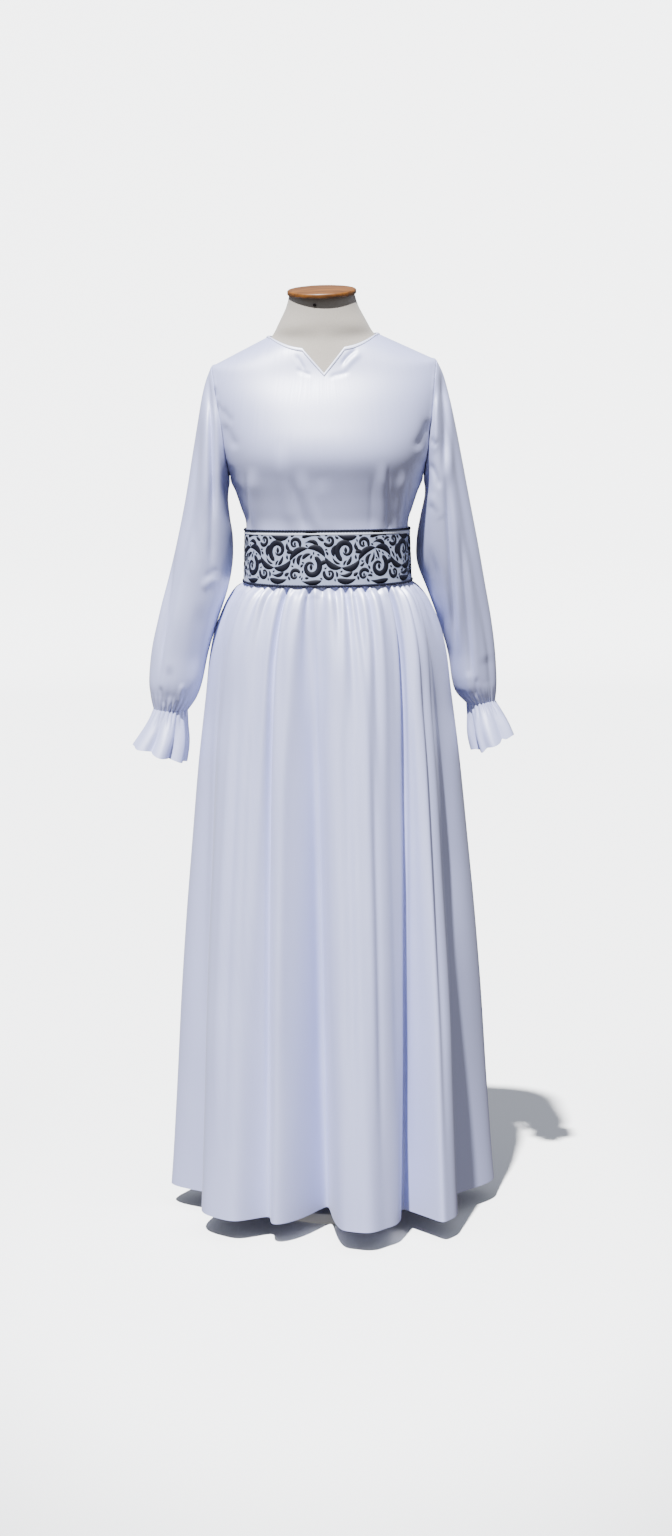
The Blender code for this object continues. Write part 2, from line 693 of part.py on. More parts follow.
def skirt_row(height):
    """One ring of the skirt's mid points at a height, folds included."""
    waist = SKIRT_SECTIONS[0].side
    hem = SKIRT_SECTIONS[-1].side
    spread = (table_value(SKIRT_SECTIONS, "side", height) - waist) / (hem - waist)
    growth = spread**FOLD_GROWTH
    gather = smooth_step((GATHER_START - height) / (GATHER_START - GATHER_FULL))
    gather *= 1.0 - smooth_step((GATHER_FULL - height) / (GATHER_FULL - GATHER_END))
    squareness = mix(BODY_SQUARENESS, HEM_SQUARENESS, spread)
    line = []
    for index, fold in enumerate(SKIRT_FOLDS):
        following = SKIRT_FOLDS[(index + 1) % len(SKIRT_FOLDS)]
        turn = 360.0 if index + 1 == len(SKIRT_FOLDS) else 0.0
        start = mix(fold.waist_angle, fold.hem_angle, spread)
        end = mix(following.waist_angle, following.hem_angle, spread) + turn
        out_start = (fold.waist_mm * gather + fold.hem_mm * growth) * MM
        out_end = (following.waist_mm * gather + following.hem_mm * growth) * MM
        for step in range(COLUMNS_PER_FOLD):
            share = step / COLUMNS_PER_FOLD
            point = skirt_point(math.radians(mix(start, end, share)), height, squareness)
            away = Vector((point.x, point.y, 0.0)).normalized()
            line.append(point + away * mix(out_start, out_end, smooth_step(share)))
    return line


def skirt_grid():
    rows = [skirt_row(height) for height in reversed(SKIRT_ROWS)]
    for point in rows[-1]:
        point.z -= SEAM_GAP / 2.0
    normals = grid_normals(rows, closed=True)
    normals[-1] = level_normals(normals[-1])
    normals[0] = level_normals(normals[0])
    return rows, normals


def fold_column(name):
    names = [fold.name for fold in SKIRT_FOLDS]
    return names.index(name) * COLUMNS_PER_FOLD


def ring_part(rows, normals, first, last):
    """The columns first to last of a ring, with both ends drawn in by half a seam gap."""
    count = len(rows[0])
    picked = [k % count for k in range(first, last + 1)]
    part_rows = [[row[k].copy() for k in picked] for row in rows]
    part_normals = [[line[k] for k in picked] for line in normals]
    for row in part_rows:
        for end, neighbour in ((0, 1), (-1, -2)):
            inward = (row[neighbour] - row[end]).normalized()
            row[end] += inward * SEAM_GAP / 2.0
    return part_rows, part_normals


def make_skirt(material):
    rows, normals = skirt_grid()
    left = fold_column("left side seam")
    right = fold_column("right side seam")
    front = ring_part(rows, normals, left, right)
    back = ring_part(rows, normals, right, left + len(rows[0]))
    wall_piece("skirt_front", *front, False, CLOTH, material)
    wall_piece("skirt_back", *back, False, CLOTH, material)


def waist_ring(height, outset, columns):
    """A ring round the waist, moved out from the mid points of the body."""
    line = []
    for j in range(columns):
        angle = 2.0 * math.pi * j / columns
        depth_name = "front" if math.cos(angle) > 0 else "back"
        side = table_value(BODY_SECTIONS, "side", height) + outset
        depth = table_value(BODY_SECTIONS, depth_name, height) + outset
        line.append(section_point(angle, side, depth, height, BODY_SQUARENESS))
    return line


def belt_arch(line):
    """Lift a ring by the soft arch of the belt's upper edge at the front."""
    for point in line:
        depth = table_value(BODY_SECTIONS, "front", BELT_TOP)
        point.z += BELT_ARCH * max(0.0, -point.y / depth)
    return line


def make_belt(material):
    outset = CLOTH / 2.0 + BELT_EASE + BELT_THICKNESS / 2.0
    heights = (BELT_BOTTOM, mix(BELT_BOTTOM, BELT_TOP, 0.5), BELT_TOP)
    rows = [waist_ring(height, outset, TRIM_COLUMNS) for height in heights]
    belt_arch(rows[-1])
    normals = [level_normals(line) for line in grid_normals(rows, closed=True)]
    wall_piece("belt_band", rows, normals, True, BELT_THICKNESS, material)


def make_cord_ring(name, centres, radius, material):
    """A closed piping with a round section along a ring of centres."""
    bm = bmesh.new()
    count = len(centres)
    rings = []
    for j, centre in enumerate(centres):
        along = (centres[(j + 1) % count] - centres[(j - 1) % count]).normalized()
        out = along.cross(Vector((0.0, 0.0, 1.0))).normalized()
        up = out.cross(along).normalized()
        ring = []
        for k in range(TRIM_SIDES):
            angle = 2.0 * math.pi * (k + 0.5) / TRIM_SIDES
            offset = (out * math.cos(angle) + up * math.sin(angle)) * radius
            ring.append(bm.verts.new(centre + offset))
        rings.append(ring)
    for j in range(count):
        following = rings[(j + 1) % count]
        for k in range(TRIM_SIDES):
            m = (k + 1) % TRIM_SIDES
            bm.faces.new((rings[j][k], following[k], following[m], rings[j][m]))
    return new_object(name, bm, material, smooth_angle=70.0)


def make_belt_trims(material):
    outset = CLOTH / 2.0 + BELT_EASE + BELT_THICKNESS / 2.0
    top = belt_arch(waist_ring(BELT_TOP, outset + TRIM_OUTSET / 2.0, TRIM_COLUMNS))
    for point in top:
        point.z += SEAM_GAP + TOP_TRIM_RADIUS
    make_cord_ring("belt_top_trim", top, TOP_TRIM_RADIUS, material)
    bottom = waist_ring(BELT_BOTTOM, outset + TRIM_OUTSET, TRIM_COLUMNS)
    for point in bottom:
        point.z -= SEAM_GAP + BOTTOM_TRIM_RADIUS
    make_cord_ring("belt_bottom_trim", bottom, BOTTOM_TRIM_RADIUS, material)


def neck_loop(front, back):
    """Along the whole neck edge: the edge and a line further down the cloth, with normals."""
    shoulder = PANEL_COLUMNS_SHOULDER
    loop = []
    for rows, normals in (front, back):
        last = len(rows[-1]) - 1 - shoulder
        for j in range(shoulder + 1, last):
            edge, below = rows[-1][j], rows[-2][j]
            share = BINDING_WIDTH / (below - edge).length
            inner_normal = normals[-1][j].lerp(normals[-2][j], share).normalized()
            loop.append((edge, normals[-1][j], edge.lerp(below, share), inner_normal))
        neck_point = Vector((rows[-1][last].x, 0.0, rows[-1][last].z))
        along_shoulder = (rows[-1][last + 1] - rows[-1][last]).normalized()
        inner = neck_point + along_shoulder * BINDING_WIDTH
        loop.append((neck_point, normals[-1][last], inner, normals[-1][last]))
    return loop


def make_neck_binding(front, back, material):
    """A flat strip on the outside of the neck edge, made from the panels' own points."""
    bm = bmesh.new()
    low = CLOTH / 2.0 + 2.0 * SEAM_GAP
    high = low + BINDING_THICKNESS
    rings = []
    for edge, edge_normal, inner, inner_normal in neck_loop(front, back):
        corners = (
            edge + edge_normal * low,
            edge + edge_normal * high,
            inner + inner_normal * (high + BINDING_LIFT),
            inner + inner_normal * (low + BINDING_LIFT),
        )
        rings.append([bm.verts.new(corner) for corner in corners])
    count = len(rings)
    for j in range(count):
        following = rings[(j + 1) % count]
        for k in range(4):
            m = (k + 1) % 4
            bm.faces.new((rings[j][k], following[k], following[m], rings[j][m]))
    return new_object("neck_binding", bm, material)


def make_torso(material):
    rows = []
    for section in FORM_SECTIONS:
        line = []
        for j in range(TORSO_COLUMNS):
            angle = 2.0 * math.pi * j / TORSO_COLUMNS
            depth = section.front if math.cos(angle) > 0 else section.back
            point = section_point(angle, section.side, depth, section.height, section.squareness)
            tilt = smooth_step((section.height - NECK_TILT_START) / NECK_TILT_RUN)
            point.z += tilt * NECK_TILT * point.y
            line.append(point)
        rows.append(line)
    bm = bmesh.new()
    rings = [[bm.verts.new(point) for point in line] for line in rows]
    for i in range(len(rings) - 1):
        for j in range(TORSO_COLUMNS):
            k = (j + 1) % TORSO_COLUMNS
            bm.faces.new((rings[i][j], rings[i][k], rings[i + 1][k], rings[i + 1][j]))
    bm.faces.new(rings[0][::-1])
    bm.faces.new(rings[-1])
    return new_object("form_torso", bm, material, smooth_angle=50.0)


def make_neck_cap(material):
    """An oval wooden disc with rounded rims and a low dome, tilted with the neck."""
    bottom = FORM_SECTIONS[-1].height + SEAM_GAP
    middle_y = (FORM_SECTIONS[-1].back - FORM_SECTIONS[-1].front) / 2.0
    bm = bmesh.new()
    rings = []
    for share, rise_mm in CAP_RINGS:
        ring = []
        for j in range(TORSO_COLUMNS):
            angle = 2.0 * math.pi * j / TORSO_COLUMNS
            x = CAP_HALF_WIDTH * share * math.sin(angle)
            y = middle_y - CAP_HALF_DEPTH * share * math.cos(angle)
            ring.append(bm.verts.new((x, y, bottom + NECK_TILT * y + rise_mm * MM)))
        rings.append(ring)
    for low, high in zip(rings, rings[1:]):
        for j in range(TORSO_COLUMNS):
            k = (j + 1) % TORSO_COLUMNS
            bm.faces.new((low[j], low[k], high[k], high[j]))
    bm.faces.new(rings[0][::-1])
    bm.faces.new(rings[-1])
    return new_object("form_neck_cap", bm, material, smooth_angle=50.0)


def make_screw(material):
    """A small flat screw head on the front of the neck."""
    side = table_value(FORM_SECTIONS, "side", SCREW_HEIGHT)
    front = table_value(FORM_SECTIONS, "front", SCREW_HEIGHT)
    squareness = table_value(FORM_SECTIONS, "squareness", SCREW_HEIGHT)
    bulge = (1.0 - (abs(SCREW_X) / side) ** squareness) ** (1.0 / squareness)
    neck_y = -front * bulge
    centre_y = neck_y - 2.0 * SEAM_GAP - SCREW_THICKNESS / 2.0
    bm = bmesh.new()
    place = Matrix.Translation((SCREW_X, centre_y, SCREW_HEIGHT + NECK_TILT * neck_y))
    bmesh.ops.create_cone(
        bm,
        cap_ends=True,
        segments=12,
        radius1=SCREW_RADIUS,
        radius2=SCREW_RADIUS * 0.8,
        depth=SCREW_THICKNESS,
        matrix=place @ Matrix.Rotation(math.radians(90.0), 4, "X"),
    )
    return new_object("form_neck_screw", bm, material)


def turned_piece(name, profile, segments, material):
    """A solid of revolution about Z from (radius, height) points, bottom to top."""
    bm = bmesh.new()
    rings = []
    for radius, height in profile:
        ring = []
        for j in range(segments):
            angle = 2.0 * math.pi * j / segments
            ring.append(bm.verts.new((radius * math.cos(angle), radius * math.sin(angle), height)))
        rings.append(ring)
    for low, high in zip(rings, rings[1:]):
        for j in range(segments):
            k = (j + 1) % segments
            bm.faces.new((low[j], low[k], high[k], high[j]))
    bm.faces.new(rings[0][::-1])
    bm.faces.new(rings[-1])
    return new_object(name, bm, material)


def make_stand(pole_material, base_material):
    torso_bottom = FORM_SECTIONS[0].height
    base_profile = (
        (BASE_RADIUS, 0.0),
        (BASE_RADIUS, BASE_THICKNESS - BASE_CHAMFER),
        (BASE_RADIUS - BASE_CHAMFER, BASE_THICKNESS),
    )
    turned_piece("form_base", base_profile, 48, base_material)
    pole_start = BASE_THICKNESS + SEAM_GAP
    pole_profile = (
        (COLLAR_RADIUS, pole_start),
        (COLLAR_RADIUS, pole_start + COLLAR_HEIGHT * 0.6),
        (POLE_RADIUS, pole_start + COLLAR_HEIGHT),
        (POLE_RADIUS, torso_bottom - SEAM_GAP),
    )
    turned_piece("form_pole", pole_profile, 20, pole_material)


def main():
    clear_scene()
    satin = finish("satin", (0.62, 0.64, 0.76), 0.36, sheen=0.3)
    binding_satin = finish("binding_satin", (0.80, 0.82, 0.90), 0.30, sheen=0.3)
    brocade = finish("belt_brocade", (0.30, 0.33, 0.45), 0.55)
    piping = finish("navy_piping", (0.010, 0.012, 0.040), 0.60)
    jersey = finish("form_jersey", (0.45, 0.42, 0.38), 0.90)
    wood = finish("turned_wood", (0.36, 0.15, 0.05), 0.45)
    screw_steel = finish("dark_screw", (0.05, 0.04, 0.04), 0.45, metallic=0.8)
    pole_steel = finish("brushed_steel", (0.55, 0.55, 0.56), 0.35, metallic=1.0)
    base_paint = finish("painted_steel", (0.60, 0.60, 0.60), 0.50)

    front = bodice_grid(-1.0)
    back = bodice_grid(1.0)
    wall_piece("bodice_front", *front, False, CLOTH, satin)
    wall_piece("bodice_back", *back, False, CLOTH, satin)
    make_neck_binding(front, back, binding_satin)
    make_sleeve("sleeve_left", LEFT_SLEEVE, -1.0, front, back, satin)
    make_sleeve("sleeve_right", RIGHT_SLEEVE, 1.0, front, back, satin)
    make_frill("cuff_frill_left", LEFT_FRILL, -1.0, satin)
    make_frill("cuff_frill_right", RIGHT_FRILL, 1.0, satin)
    make_skirt(satin)
    make_belt(brocade)
    make_belt_trims(piping)
    make_torso(jersey)
    make_neck_cap(wood)
    make_screw(screw_steel)
    make_stand(pole_steel, base_paint)


main()
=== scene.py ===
# A satin maxi dress with a wide patterned belt, standing on a limbless dress form.
# Units are metres, +Z is up, the front of the dress looks along -Y, and the floor is z = 0.

import math
import random
from collections import namedtuple

import bpy
import numpy as np
from bpy.props import FloatProperty, FloatVectorProperty, IntProperty, PointerProperty
from mathutils import Matrix, Vector


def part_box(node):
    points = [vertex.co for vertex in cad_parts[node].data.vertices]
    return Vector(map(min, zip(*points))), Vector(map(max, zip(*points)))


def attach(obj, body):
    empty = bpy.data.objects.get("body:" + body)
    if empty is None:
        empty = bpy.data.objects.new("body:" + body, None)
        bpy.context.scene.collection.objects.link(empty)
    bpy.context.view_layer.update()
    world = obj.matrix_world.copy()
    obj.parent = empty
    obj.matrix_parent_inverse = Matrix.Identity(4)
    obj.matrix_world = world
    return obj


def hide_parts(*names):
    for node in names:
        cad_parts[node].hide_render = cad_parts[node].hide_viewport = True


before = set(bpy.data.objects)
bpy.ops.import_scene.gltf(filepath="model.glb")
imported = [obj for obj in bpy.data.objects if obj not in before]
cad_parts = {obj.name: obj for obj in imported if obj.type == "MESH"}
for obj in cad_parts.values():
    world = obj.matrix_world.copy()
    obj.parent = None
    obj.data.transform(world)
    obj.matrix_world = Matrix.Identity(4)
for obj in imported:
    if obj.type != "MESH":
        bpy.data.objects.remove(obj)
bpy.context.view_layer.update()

bl_info = {
    "name": "Satin maxi dress on a dress form",
    "version": (1, 0, 0),
    "blender": (4, 5, 0),
    "location": "View3D > Sidebar > Dress",
    "description": "Thin satin cloth, a scroll-patterned belt and a padded form for the dress",
    "category": "Add Mesh",
}

MM = 0.001
FULL_TURN = 2.0 * math.pi


def rows_of(kind, rows):
    """The rows of a table as records with named columns."""
    return tuple(kind(*row) for row in rows)


def mm_rows_of(kind, rows):
    """The rows of a table in millimetres as records in metres."""
    return tuple(kind(*(value * MM for value in row)) for row in rows)



# The frame of the photograph, in pixels, and the camera that took it
PHOTO_HEIGHT = 1536
CAMERA_DISTANCE = 5.0
CAMERA_HEIGHT = 1.57
CAMERA_PITCH = 9.27
CAMERA_ROLL = -0.55
CAMERA_FOCAL_PIXELS = 3060
CAMERA_SHIFT_PIXELS = 6.5
SENSOR = 36.0

# The sun, which stands high at the front left: the way its light travels, its strength in
# watts per square metre and its width in degrees, and the strength of the even sky
SUN_DIRECTION = (0.165, 0.48, -1.0)
SUN_STRENGTH = 17.0
SUN_WIDTH = 1.6
SKY_STRENGTH = 0.64
SKY_LOW = "#B9B3AE"
SKY_HIGH = "#DADFEC"

# The pale floor: its flat radius, the bend at its edge and the rim that slopes up from it
FLOOR_RADIUS = 6.5
FLOOR_BEND = 1.5
FLOOR_BEND_STEPS = 8
FLOOR_RIM_SLOPE = 45.0
FLOOR_RIM_HEIGHT = 4.5

# Heights of the main lines of the dress above the floor
HEM = 0.035
WAIST_SEAM = 1.1085
UNDERARM = 1.235
SHOULDER_TIP = 1.414
NECK_POINT = 1.460
NOTCH_CORNER = 1.441
NOTCH_APEX = 1.401
BACK_NECK = 1.448
BACK_NECK_SIDE = 1.4495
NECK_SAG = 3.5 * MM
BELT_BOTTOM = 1.069
BELT_TOP = 1.150
BELT_ARCH = 6.0 * MM

# Half-widths from the centre line
UNDERARM_REACH = 0.1565
SHOULDER_REACH = 0.182
NECK_REACH = 0.0866
NOTCH_REACH = 0.0335
ARMHOLE_DEPTH = 0.055

# How square a section is seen from above: 2 is an ellipse
BODY_SQUARENESS = 2.3
HEM_SQUARENESS = 2.0

# The upper body stands a little out of true: from this height it leans towards -X and is
# lifted, so that one shoulder is the higher
LEAN_START = 1.27
LEAN_RUN = 0.14
LEAN_SLOPE = 0.020
SHOULDER_LIFT = 4.0 * MM

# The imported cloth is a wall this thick, and the fine cloth shares its outer face
PACKED_CLOTH = 1.6 * MM
SEAM_GAP = 0.2 * MM

# Passes of blurring over a bodice panel. Points nearer to the plane of the side seams than
# SEAM_KEEP stay, and the blur and the creases grow to their full amount over SEAM_KEEP_RUN.
BODICE_SOFTENING = 14
SEAM_KEEP = 4.0 * MM
SEAM_KEEP_RUN = 20.0 * MM

# The pressed seam of an armhole: a roll beside it, its uneven puckering, and a dip on it
SEAM_ROLL = 0.7 * MM
SEAM_ROLL_PLACE = 4.5 * MM
SEAM_ROLL_WIDTH = 2.4 * MM
SEAM_PUCKER = 0.6
SEAM_DIP = 0.4 * MM
SEAM_DIP_WIDTH = 2.0 * MM

# The rows of a bodice panel: where each meets the side seam or, in degrees round from the
# shoulder tip, the armhole, and its share of the way up the centre line
SideRow = namedtuple("SideRow", "height share")
SIDE_ROWS = rows_of(SideRow, (
    (WAIST_SEAM, 0.00),
    (1.164, 0.188),
    (1.187, 0.255),
    (1.211, 0.325),
))
ArmholeRow = namedtuple("ArmholeRow", "angle share")
ARMHOLE_ROWS = rows_of(ArmholeRow, (
    (180, 0.40),
    (150, 0.485),
    (125, 0.57),
    (100, 0.655),
    (77, 0.74),
    (55, 0.815),
    (34, 0.885),
    (15, 0.95),
    (0, 1.00),
))

# Columns of half a bodice panel, the shares of them up to the notch corner and up to the
# neck point, and the finer steps of the cloth within each row and column
PANEL_COLUMNS = 12
NOTCH_SHARE = 2.0 / PANEL_COLUMNS
NECK_SHARE = 6.0 / PANEL_COLUMNS
BODICE_ROW_STEPS = 8
BODICE_COLUMN_STEPS = 8

# The body of the dress by height, front and back measured from the side seams, in
# millimetres
BodySection = namedtuple("BodySection", "height side front back")
BODY_SECTIONS = mm_rows_of(BodySection, (
    (1065, 134.1, 107.1, 97.1),
    (1108.5, 132.9, 106.1, 96.1),
    (1163, 131.3, 106.8, 96.1),
    (1182, 137.8, 110.6, 100),
    (1210, 147, 117.2, 105),
    (1235, 156.5, 124.4, 109),
    (1275, 156.5, 135, 115),
    (1293, 156.5, 133, 118),
    (1330, 156.5, 120, 118),
    (1360, 156.5, 107, 113),
    (1401, 156.5, 85.5, 98),
    (1441, 156.5, 71.5, 75),
    (1448, 156.5, 65, 70),
    (1455, 156.5, 56.7, 62),
    (1460, 156.5, 49, 54),
))

# Soft folds and creases seen from the front: the upper end, the lower end, how far the
# line bows sideways, its width and how far it stands out of the cloth, or in from it, all
# in millimetres. Each fades out over this share of its length at both ends.
CREASE_FADE = 0.3
Crease = namedtuple("Crease", "x_top z_top x_low z_low bow width rise")
BODICE_CREASES = mm_rows_of(Crease, (
    (-119, 1262, -112, 1140, 0, 10, 3.8),
    (-129, 1256, -124, 1140, 0, 3.5, -1.4),
    (-75, 1300, -48, 1140, 4, 12, 3.2),
    (-44, 1260, -4, 1140, 4, 10, 2.8),
    (-58, 1250, -28, 1140, 2, 6, -1.2),
    (-10, 1245, 10, 1140, 3, 14, 1.8),
    (88, 1270, 88, 1140, 1, 8.5, 3.4),
    (98, 1266, 96.5, 1140, 0, 2.8, -2.0),
    (125, 1258, 112, 1140, 2, 8, 3.4),
    (136, 1250, 124, 1140, 2, 3, -1.3),
    (73, 1250, 70, 1140, 1, 4.5, -0.9),
    (56, 1438, 27, 1411, 3, 3.2, -2.0),
    (62, 1432, 30, 1403, 3, 4.5, 1.3),
    (42, 1403, 6, 1396, -1, 2.8, -1.5),
    (-47, 1434, -29, 1402, -1, 3.2, -1.1),
    (-46, 1411, -18, 1399, 2, 3, -1.2),
    (-176, 1385, -172, 1366, 1, 3, -1.6),
    (-172, 1360, -167, 1343, 1, 3, -1.6),
    (-166, 1352, -146, 1326, 3, 6, -1.6),
    (-163, 1330, -140, 1285, 4, 8, -2.2),
    (166, 1330, 139, 1280, -4, 8.5, -2.6),
    (155, 1270, 140, 1220, -2, 8, -1.6),
    (-155, 1262, -139, 1205, 3, 7, -1.4),
))
BACK_CREASES = mm_rows_of(Crease, (
    (-96, 1262, -81, 1140, 3, 10, 2.4),
    (-71, 1245, -64, 1140, 1, 4.5, -1.5),
    (-24, 1300, -33, 1140, 3, 13, 1.7),
    (13, 1270, 8, 1140, 2, 6, -1.2),
    (51, 1290, 38, 1140, 4, 12, 2.0),
    (94, 1258, 83, 1140, 2, 9, 2.5),
    (106, 1250, 96, 1140, 1, 3.2, -1.7),
    (128, 1240, 114, 1140, 2, 7, 1.8),
    (-126, 1246, -113, 1140, 2, 4, -1.6),
    (-158, 1350, -135, 1280, 4, 8, -2.0),
    (162, 1342, 140, 1286, -5, 7.5, -2.2),
    (118, 1428, 52, 1405, 4, 8, -1.4),
    (-110, 1424, -48, 1400, -3, 7, -1.2),
))
LEFT_SLEEVE_CREASES = mm_rows_of(Crease, (
    (-185.5, 1412, -183, 1165, 1, 4.2, -7.5),
    (-193, 1395, -196, 1160, 1, 7.5, 3.8),
    (-176.5, 1380, -172, 1200, 1, 5, 2.6),
    (-206, 1340, -216, 1080, 2, 8, -2.8),
    (-244, 1140, -279, 890, 3, 3.5, -3.4),
    (-254, 1120, -286, 900, 3, 6, 2.0),
    (-228, 1180, -252, 940, 3, 10, 1.8),
    (-182, 1250, -189, 1080, 1, 6, -3.8),
    (-176, 1074, -206, 1055, 5, 7, 2.0),
    (-174, 1090, -200, 1072, 4, 6, -1.2),
    (-207, 1040, -228, 905, -3, 11, -2.0),
    (-260, 935, -259, 862, 1, 7, -2.6),
    (-238, 905, -248, 862, 1, 3.5, 2.2),
    (-276, 900, -270, 860, 1, 3.5, -1.8),
))
RIGHT_SLEEVE_CREASES = mm_rows_of(Crease, (
    (189.5, 1412, 190, 1235, -2, 6, -8.5),
    (189.5, 1275, 209.5, 905, -2, 5.5, -6.5),
    (196.5, 1390, 199, 1215, -1, 6.5, 2.4),
    (200, 1230, 219, 925, -2, 6.5, 2.6),
    (178, 1380, 175, 1270, -1, 5, 4.0),
    (168, 1300, 179, 1285, 1, 4, -1.8),
    (166, 1262, 183, 1215, -2, 4.5, -2.6),
    (164, 1212, 185, 1165, -2, 7, 1.6),
    (164, 1192, 184, 1172, -1, 6, -1.0),
    (213.5, 1165, 239, 862, -2, 4, -3.6),
    (223, 1140, 247, 880, -2, 6, 1.8),
    (164, 1130, 198, 950, -3, 8, -3.0),
    (260, 940, 260, 875, 1, 10, -1.5),
    (232, 915, 236, 862, 1, 6, 1.6),
    (245, 905, 244, 862, 1, 4, -1.4),
))
# The backs of both sleeves, seen through from the front and mirrored for the other side
SLEEVE_BACK_CREASES = mm_rows_of(Crease, (
    (187, 1395, 195, 1150, 2, 5, -3.4),
    (197, 1380, 208, 1120, 2, 8, 2.2),
    (174, 1330, 182, 1190, 1, 6, 2.4),
    (210, 1240, 239, 960, 3, 4.5, -2.6),
    (224, 1200, 252, 930, 2, 8, 2.2),
    (170, 1085, 201, 1066, 3, 6, -2.6),
    (174, 1060, 208, 1036, 4, 7, 3.0),
    (203, 1010, 227, 880, 3, 7, -2.2),
    (254, 960, 256, 865, 2, 5, -2.4),
))

# The skirt without its folds, by height, in millimetres
SkirtSection = namedtuple("SkirtSection", "height side front back")
SKIRT_SECTIONS = mm_rows_of(SkirtSection, (
    (1108.5, 132.9, 106.1, 96.1),
    (1065, 134.1, 107.1, 97.1),
    (1052, 148, 117, 109),
    (1030, 162.8, 126, 120),
    (975.5, 184, 141, 140),
    (934, 192.7, 149, 150),
    (879, 198.9, 157, 158),
    (769, 211.1, 170, 171),
    (635, 222.7, 184, 185),
    (499, 233.7, 197, 198),
    (362, 242.7, 208, 208),
    (224, 249.8, 217, 217),
    (85, 257.6, 224, 224),
    (HEM / MM, 261, 226, 226),
))

# The folds of the skirt, clockwise from the left side seam as seen from above: the angle
# from the front at the waist and at the hem in degrees, and how far the fold stands out
# of the plain skirt, or in from it, just under the belt and at the hem, in millimetres
SkirtFold = namedtuple("SkirtFold", "name waist_angle hem_angle waist_mm hem_mm")
SKIRT_FOLDS = rows_of(SkirtFold, (
    ("left side seam", -90, -98, 2, 19),
    ("left valley", -67, -79, -4, -58),
    ("left lobe, outer end", -56, -52, 4, 9),
    ("left lobe, inner end", -40, -38, 4, 9),
    ("narrow valley", -25, -30, -7, -44),
    ("narrow ridge", -16, -22, 5, -3),
    ("deep centre valley", -7, -4, -7, -125),
    ("centre lobe, left end", 1, 3, 5, 15),
    ("centre pleat", 11, 11, -3, 32),
    ("centre lobe, right end", 25, 20, 5, 10),
    ("sharp valley", 43, 39, -7, -75),
    ("bright ridge", 53, 37, 5, 29),
    ("right lobe, outer end", 62, 44, 3, 21),
    ("right valley", 73, 70, -4, -74),
    ("right side seam", 90, 102, 2, 21),
    ("right side, back end", 103, 112, 3, 17),
    ("back valley 1", 117, 124, -5, -40),
    ("back lobe 1, right end", 128, 134, 5, 17),
    ("back lobe 1, left end", 140, 145, 5, 21),
    ("back valley 2", 151, 155, -6, -58),
    ("back lobe 2, right end", 159, 161, 5, 18),
    ("back lobe 2, left end", 173, 176, 5, 24),
    ("back valley 3", 183, 185, -6, -46),
    ("back lobe 3, right end", 192, 194, 5, 16),
    ("back lobe 3, left end", 203, 204, 5, 19),
    ("back valley 4", 213, 213, -6, -62),
    ("back lobe 4, right end", 223, 221, 5, 20),
    ("back lobe 4, left end", 238, 234, 5, 18),
    ("back valley 5", 249, 244, -5, -40),
    ("left side, back end", 259, 253, 3, 16),
))
# The folds grow with this power of the skirt's spread. Their size just under the belt comes
# in between the first two heights and dies away down to the third.
FOLD_GROWTH = 2.2
GATHER_START = 1.066
GATHER_FULL = 1.045
GATHER_END = 0.86

# Columns between two lines of folds, passes of blurring round the skirt, and its rows:
# close ones from the waist down to a height, and then a row to each step
SKIRT_COLUMNS_PER_FOLD = 16
LOBE_SOFTENING = 16
SKIRT_CLOSE_ROWS = 50
SKIRT_CLOSE_END = 0.96
SKIRT_ROW_STEP = 8.0 * MM

# Gathers of the skirt just under the belt, at the front: angle from the front at the waist,
# width in degrees, depth and how far down they run. The rest are spread unevenly.
WaistGather = namedtuple("WaistGather", "angle width depth_mm run")
FRONT_GATHERS = rows_of(WaistGather, (
    (-78, 1.6, 3.4, 0.12),
    (-62, 1.8, 4.0, 0.18),
    (-45, 1.6, 3.6, 0.12),
    (-37, 2.0, 4.6, 0.24),
    (-25.5, 1.5, 8.0, 0.75),
    (-10, 1.4, 7.0, 0.45),
    (-2.5, 1.3, 3.0, 0.10),
    (3.5, 1.4, 3.8, 0.14),
    (9.5, 1.3, 6.0, 0.35),
    (15, 1.2, 4.0, 0.16),
    (23, 1.4, 6.5, 0.42),
    (33, 1.6, 3.6, 0.15),
    (43, 1.5, 7.5, 0.60),
    (56, 1.6, 4.6, 0.30),
    (70, 1.7, 4.0, 0.16),
    (81, 1.5, 3.2, 0.10),
))
BACK_GATHERS_SEED = 7
BACK_GATHERS_START = 96.0
BACK_GATHERS_END = 264.0
BACK_GATHER_STEPS = (6.0, 13.0)
BACK_GATHER_WIDTHS = (1.3, 2.3)
BACK_GATHER_DEPTHS_MM = (2.8, 5.4)
BACK_GATHER_RUNS = (0.07, 0.22)

# Gathers start at this height over this run, fade and widen from the next one down, and
# have a soft swell at both sides: how far off in widths, and how high against the depth
GATHER_LINE = 1.070
GATHER_LINE_RUN = 0.012
GATHER_FADE_START = 1.062
GATHER_WIDENING = 1.5
GATHER_SWELL_PLACE = 2.2
GATHER_SWELL = 0.45

